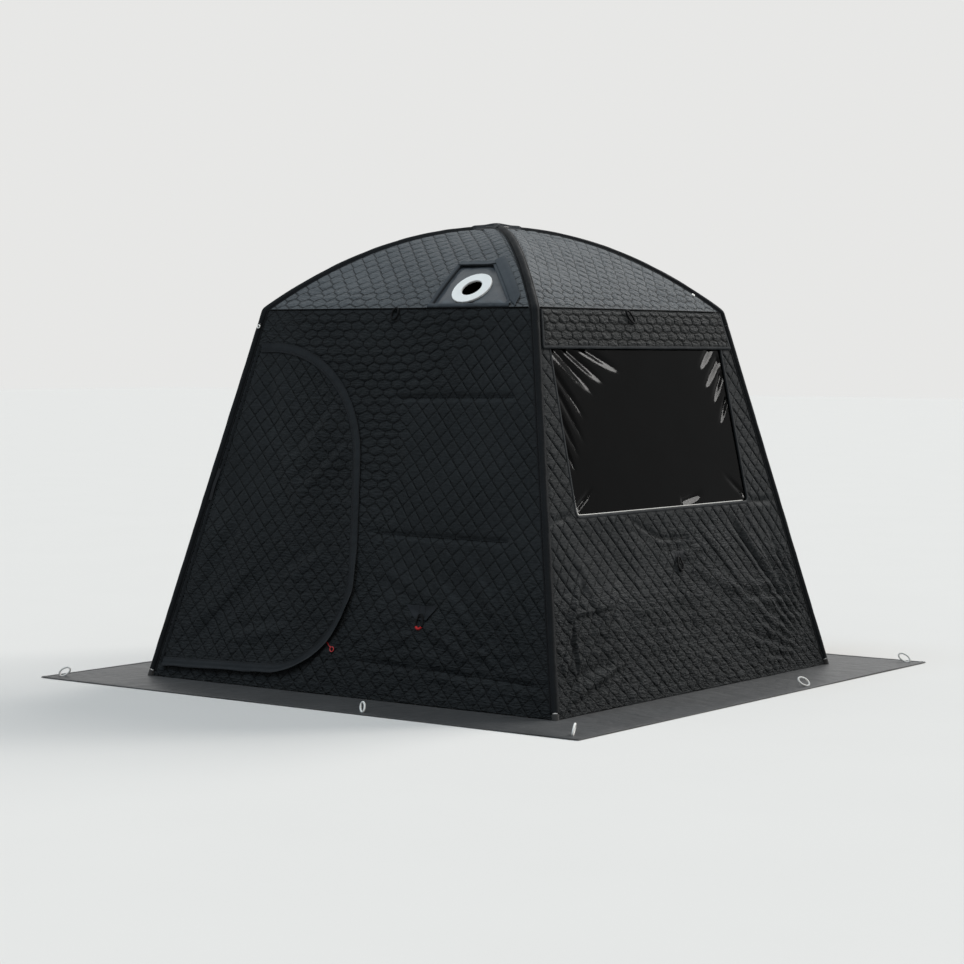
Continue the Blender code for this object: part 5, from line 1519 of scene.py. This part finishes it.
# Apex cap. A round patch of plain cloth covers the hub and laps the tops of the four ridge
# sleeves, which show through it as a cross.
CAP_RADIUS = 0.105
CAP_HIGHEST = 1.8995
rings = np.linspace(0, 1, 30)
radius, angle = np.meshgrid(CAP_RADIUS * rings, np.linspace(0, math.tau, 97), indexing="ij")
flat_x, flat_y = radius * np.cos(angle), radius * np.sin(angle)
side_reach = np.maximum(np.abs(flat_x), np.abs(flat_y))
from_diagonal = np.abs(np.abs(flat_x) - np.abs(flat_y)) / math.sqrt(2)
height = RIDGE_TOP - ROOF_CURVE * side_reach**2 + 0.0045
height = height + 0.0145 * np.exp(-((from_diagonal / 0.019) ** 2))
height = height + 0.0085 * np.exp(-((radius / 0.045) ** 2)) - 0.0030 * eased((rings[:, None] - 0.9) / 0.1)
height = height + 0.0010 * unevenness(flat_x, flat_y, 0.03, 0.03, 120) * rings[:, None]
cap_points = np.stack([flat_x, flat_y, np.minimum(height, CAP_HIGHEST)], -1)
cap_cloth = stitched_cloth("cap_cloth", (0.010, 0.0115, 0.013), (0.022, 0.024, 0.027), (0.099, 0.094))
cap = cloth_piece("apex_cap_cloth", cap_points, grid_faces(*radius.shape),
                  np.stack([radius, radius * angle], -1), cap_cloth, 0.0014)
mend(cap, 0.00002)
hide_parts("apex_cap")
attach(cap, "canopy")

# Pull loops. A cord ring hangs from a sewn patch low on the front and right walls, to pull the
# tent open, with a red grip on the front one. Closed loops of the same cord are sewn in at the
# eaves.
loop_cord = plain_weave("loop_cord", (0.0030, 0.0032, 0.0036), (0.0070, 0.0074, 0.0080), 0.4)
patch_cloth = stitched_cloth("patch_cloth", (0.0095, 0.011, 0.0125), (0.020, 0.022, 0.025), (0.0145, 0.0145))
red_tape = plain_weave("red_tape", (0.30, 0.018, 0.020), (0.48, 0.030, 0.032), 0.3)
PATCH_HALF_TOP = 0.026
LOOP_RING = np.array([(-0.006, 0.008), (-0.011, -0.006), (-0.013, -0.020), (-0.008, -0.031), (0.0, -0.034),
                      (0.008, -0.030), (0.013, -0.019), (0.010, -0.006), (0.005, 0.008), (0.0, 0.010)])
for side, shape in (("front", front_shape), ("right", right_shape)):
    spot = LOOP_SPOTS[side]
    along, row = np.meshgrid(np.linspace(-1, 1, 17), np.linspace(0, 1, 9))
    wide, tall = (0.052, 0.056) if side == "front" else (0.020, 0.045)
    across = spot[0] + along * (PATCH_HALF_TOP + wide * row)
    up = spot[1] - 0.008 + tall * row
    lift = 0.0056 + 0.0008 * unevenness(along, row, 0.4, 0.4, 130) + shape(across, up)
    patch = cloth_piece(side + "_loop_patch", wall_place(side)(across, up, lift), grid_faces(*across.shape),
                        np.stack([across - spot[0], up - spot[1]], -1), patch_cloth, 0.0012)
    fit(patch, side, "plain_fabric", flat=(2 * (PATCH_HALF_TOP + wide), tall),
        area=(2 * PATCH_HALF_TOP + wide) * tall)
    sink = float(shape(*spot))
    path = smooth_path(1.30 * LOOP_RING, 64, closed=True)
    out = 0.0100 + sink + 0.003 * np.clip(-path[:, 1] / 0.034, 0, 1)
    ring_points = wall_place(side)(spot[0] + path[:, 0], spot[1] + path[:, 1], out)
    cord = round_cord(side + "_loop_cord", ring_points, 0.0036, loop_cord, closed=True)
    fit(cord, side, "webbing", side + "_pull_loop")
    grip = round_cord(side + "_loop_grip", ring_points[path[:, 1] < -0.0350], 0.0050,
                      red_tape if side == "front" else loop_cord)
    fit(grip, side, "red_pull")

for side, middle, half_size, lean, clear, body in (
    ("front", (0.012, 1.542), (0.0150, 0.0235), -20, 0.0085, "canopy"),
    ("right", (-0.060, 1.531), (0.0130, 0.0330), 43, 0.0195, "valance"),
):
    cos, sin = math.cos(math.radians(lean)), math.sin(math.radians(lean))
    x, y = (half_size * ring_of((0, 0), 1.0, 40)).T
    points = wall_place(side)(middle[0] + x * cos - y * sin, middle[1] + x * sin + y * cos, clear)
    eave_loop = round_cord(side + "_eave_loop", points, 0.0042, loop_cord, closed=True)
    fit(eave_loop, side, "webbing", body=body)

# Tie strap and eyelets. A webbing strap is sewn beside the left corner to tie back
# the rolled door. A pale eyelet sits by the door's top, and a small bright one on the right roof.
strap_web = plain_weave("strap_web", (0.010, 0.0105, 0.0115), (0.020, 0.021, 0.023), 0.6)
strap_low, strap_high = 0.735 / math.cos(LEAN), 0.865 / math.cos(LEAN)
STRAP_WIDE = 0.016
inset = SLEEVE_EDGE + (HINGE_INSET - STRAP_WIDE) / 3 + STRAP_WIDE / 2
strap_path = evened([(inset - wall_half(up), up) for up in (strap_low, strap_high)], 0.004)


def strap_section(distance, spot):
    share = distance / (strap_high - strap_low)
    bow = 0.0035 * math.sin(math.pi * min(1.0, share * 1.1)) ** 2
    return [(-0.0080, 0.0062 + bow), (-0.004, 0.0066 + bow), (0.0, 0.0067 + bow), (0.004, 0.0066 + bow),
            (0.0080, 0.0062 + bow)]


tie_strap = strip("tie_strap_web", wall_place("front"), strap_path, strap_section, strap_web,
                  thickness=0.0013)
fit(tie_strap, "front", "webbing", "tie_strap", flat=(STRAP_WIDE, 0.135))
pale_metal = hard_finish("pale_metal", (0.75, 0.75, 0.73), 0.35, 0.4)
for name, place, spot, side, radius, out in (
    ("door_eyelet", wall_place("front"), (-0.700, 1.491), "front", 0.0066, 0.0158),
    ("roof_eyelet", roof_place("right"), (0.575, ROOF_ARC - 0.690), "right", 0.0060, 0.0062),
):
    points = place(*ring_of(spot, radius, 40).T, out)
    eyelet = round_cord(name, points, 0.0022, pale_metal, closed=True)
    fit(eyelet, side, "alloy")
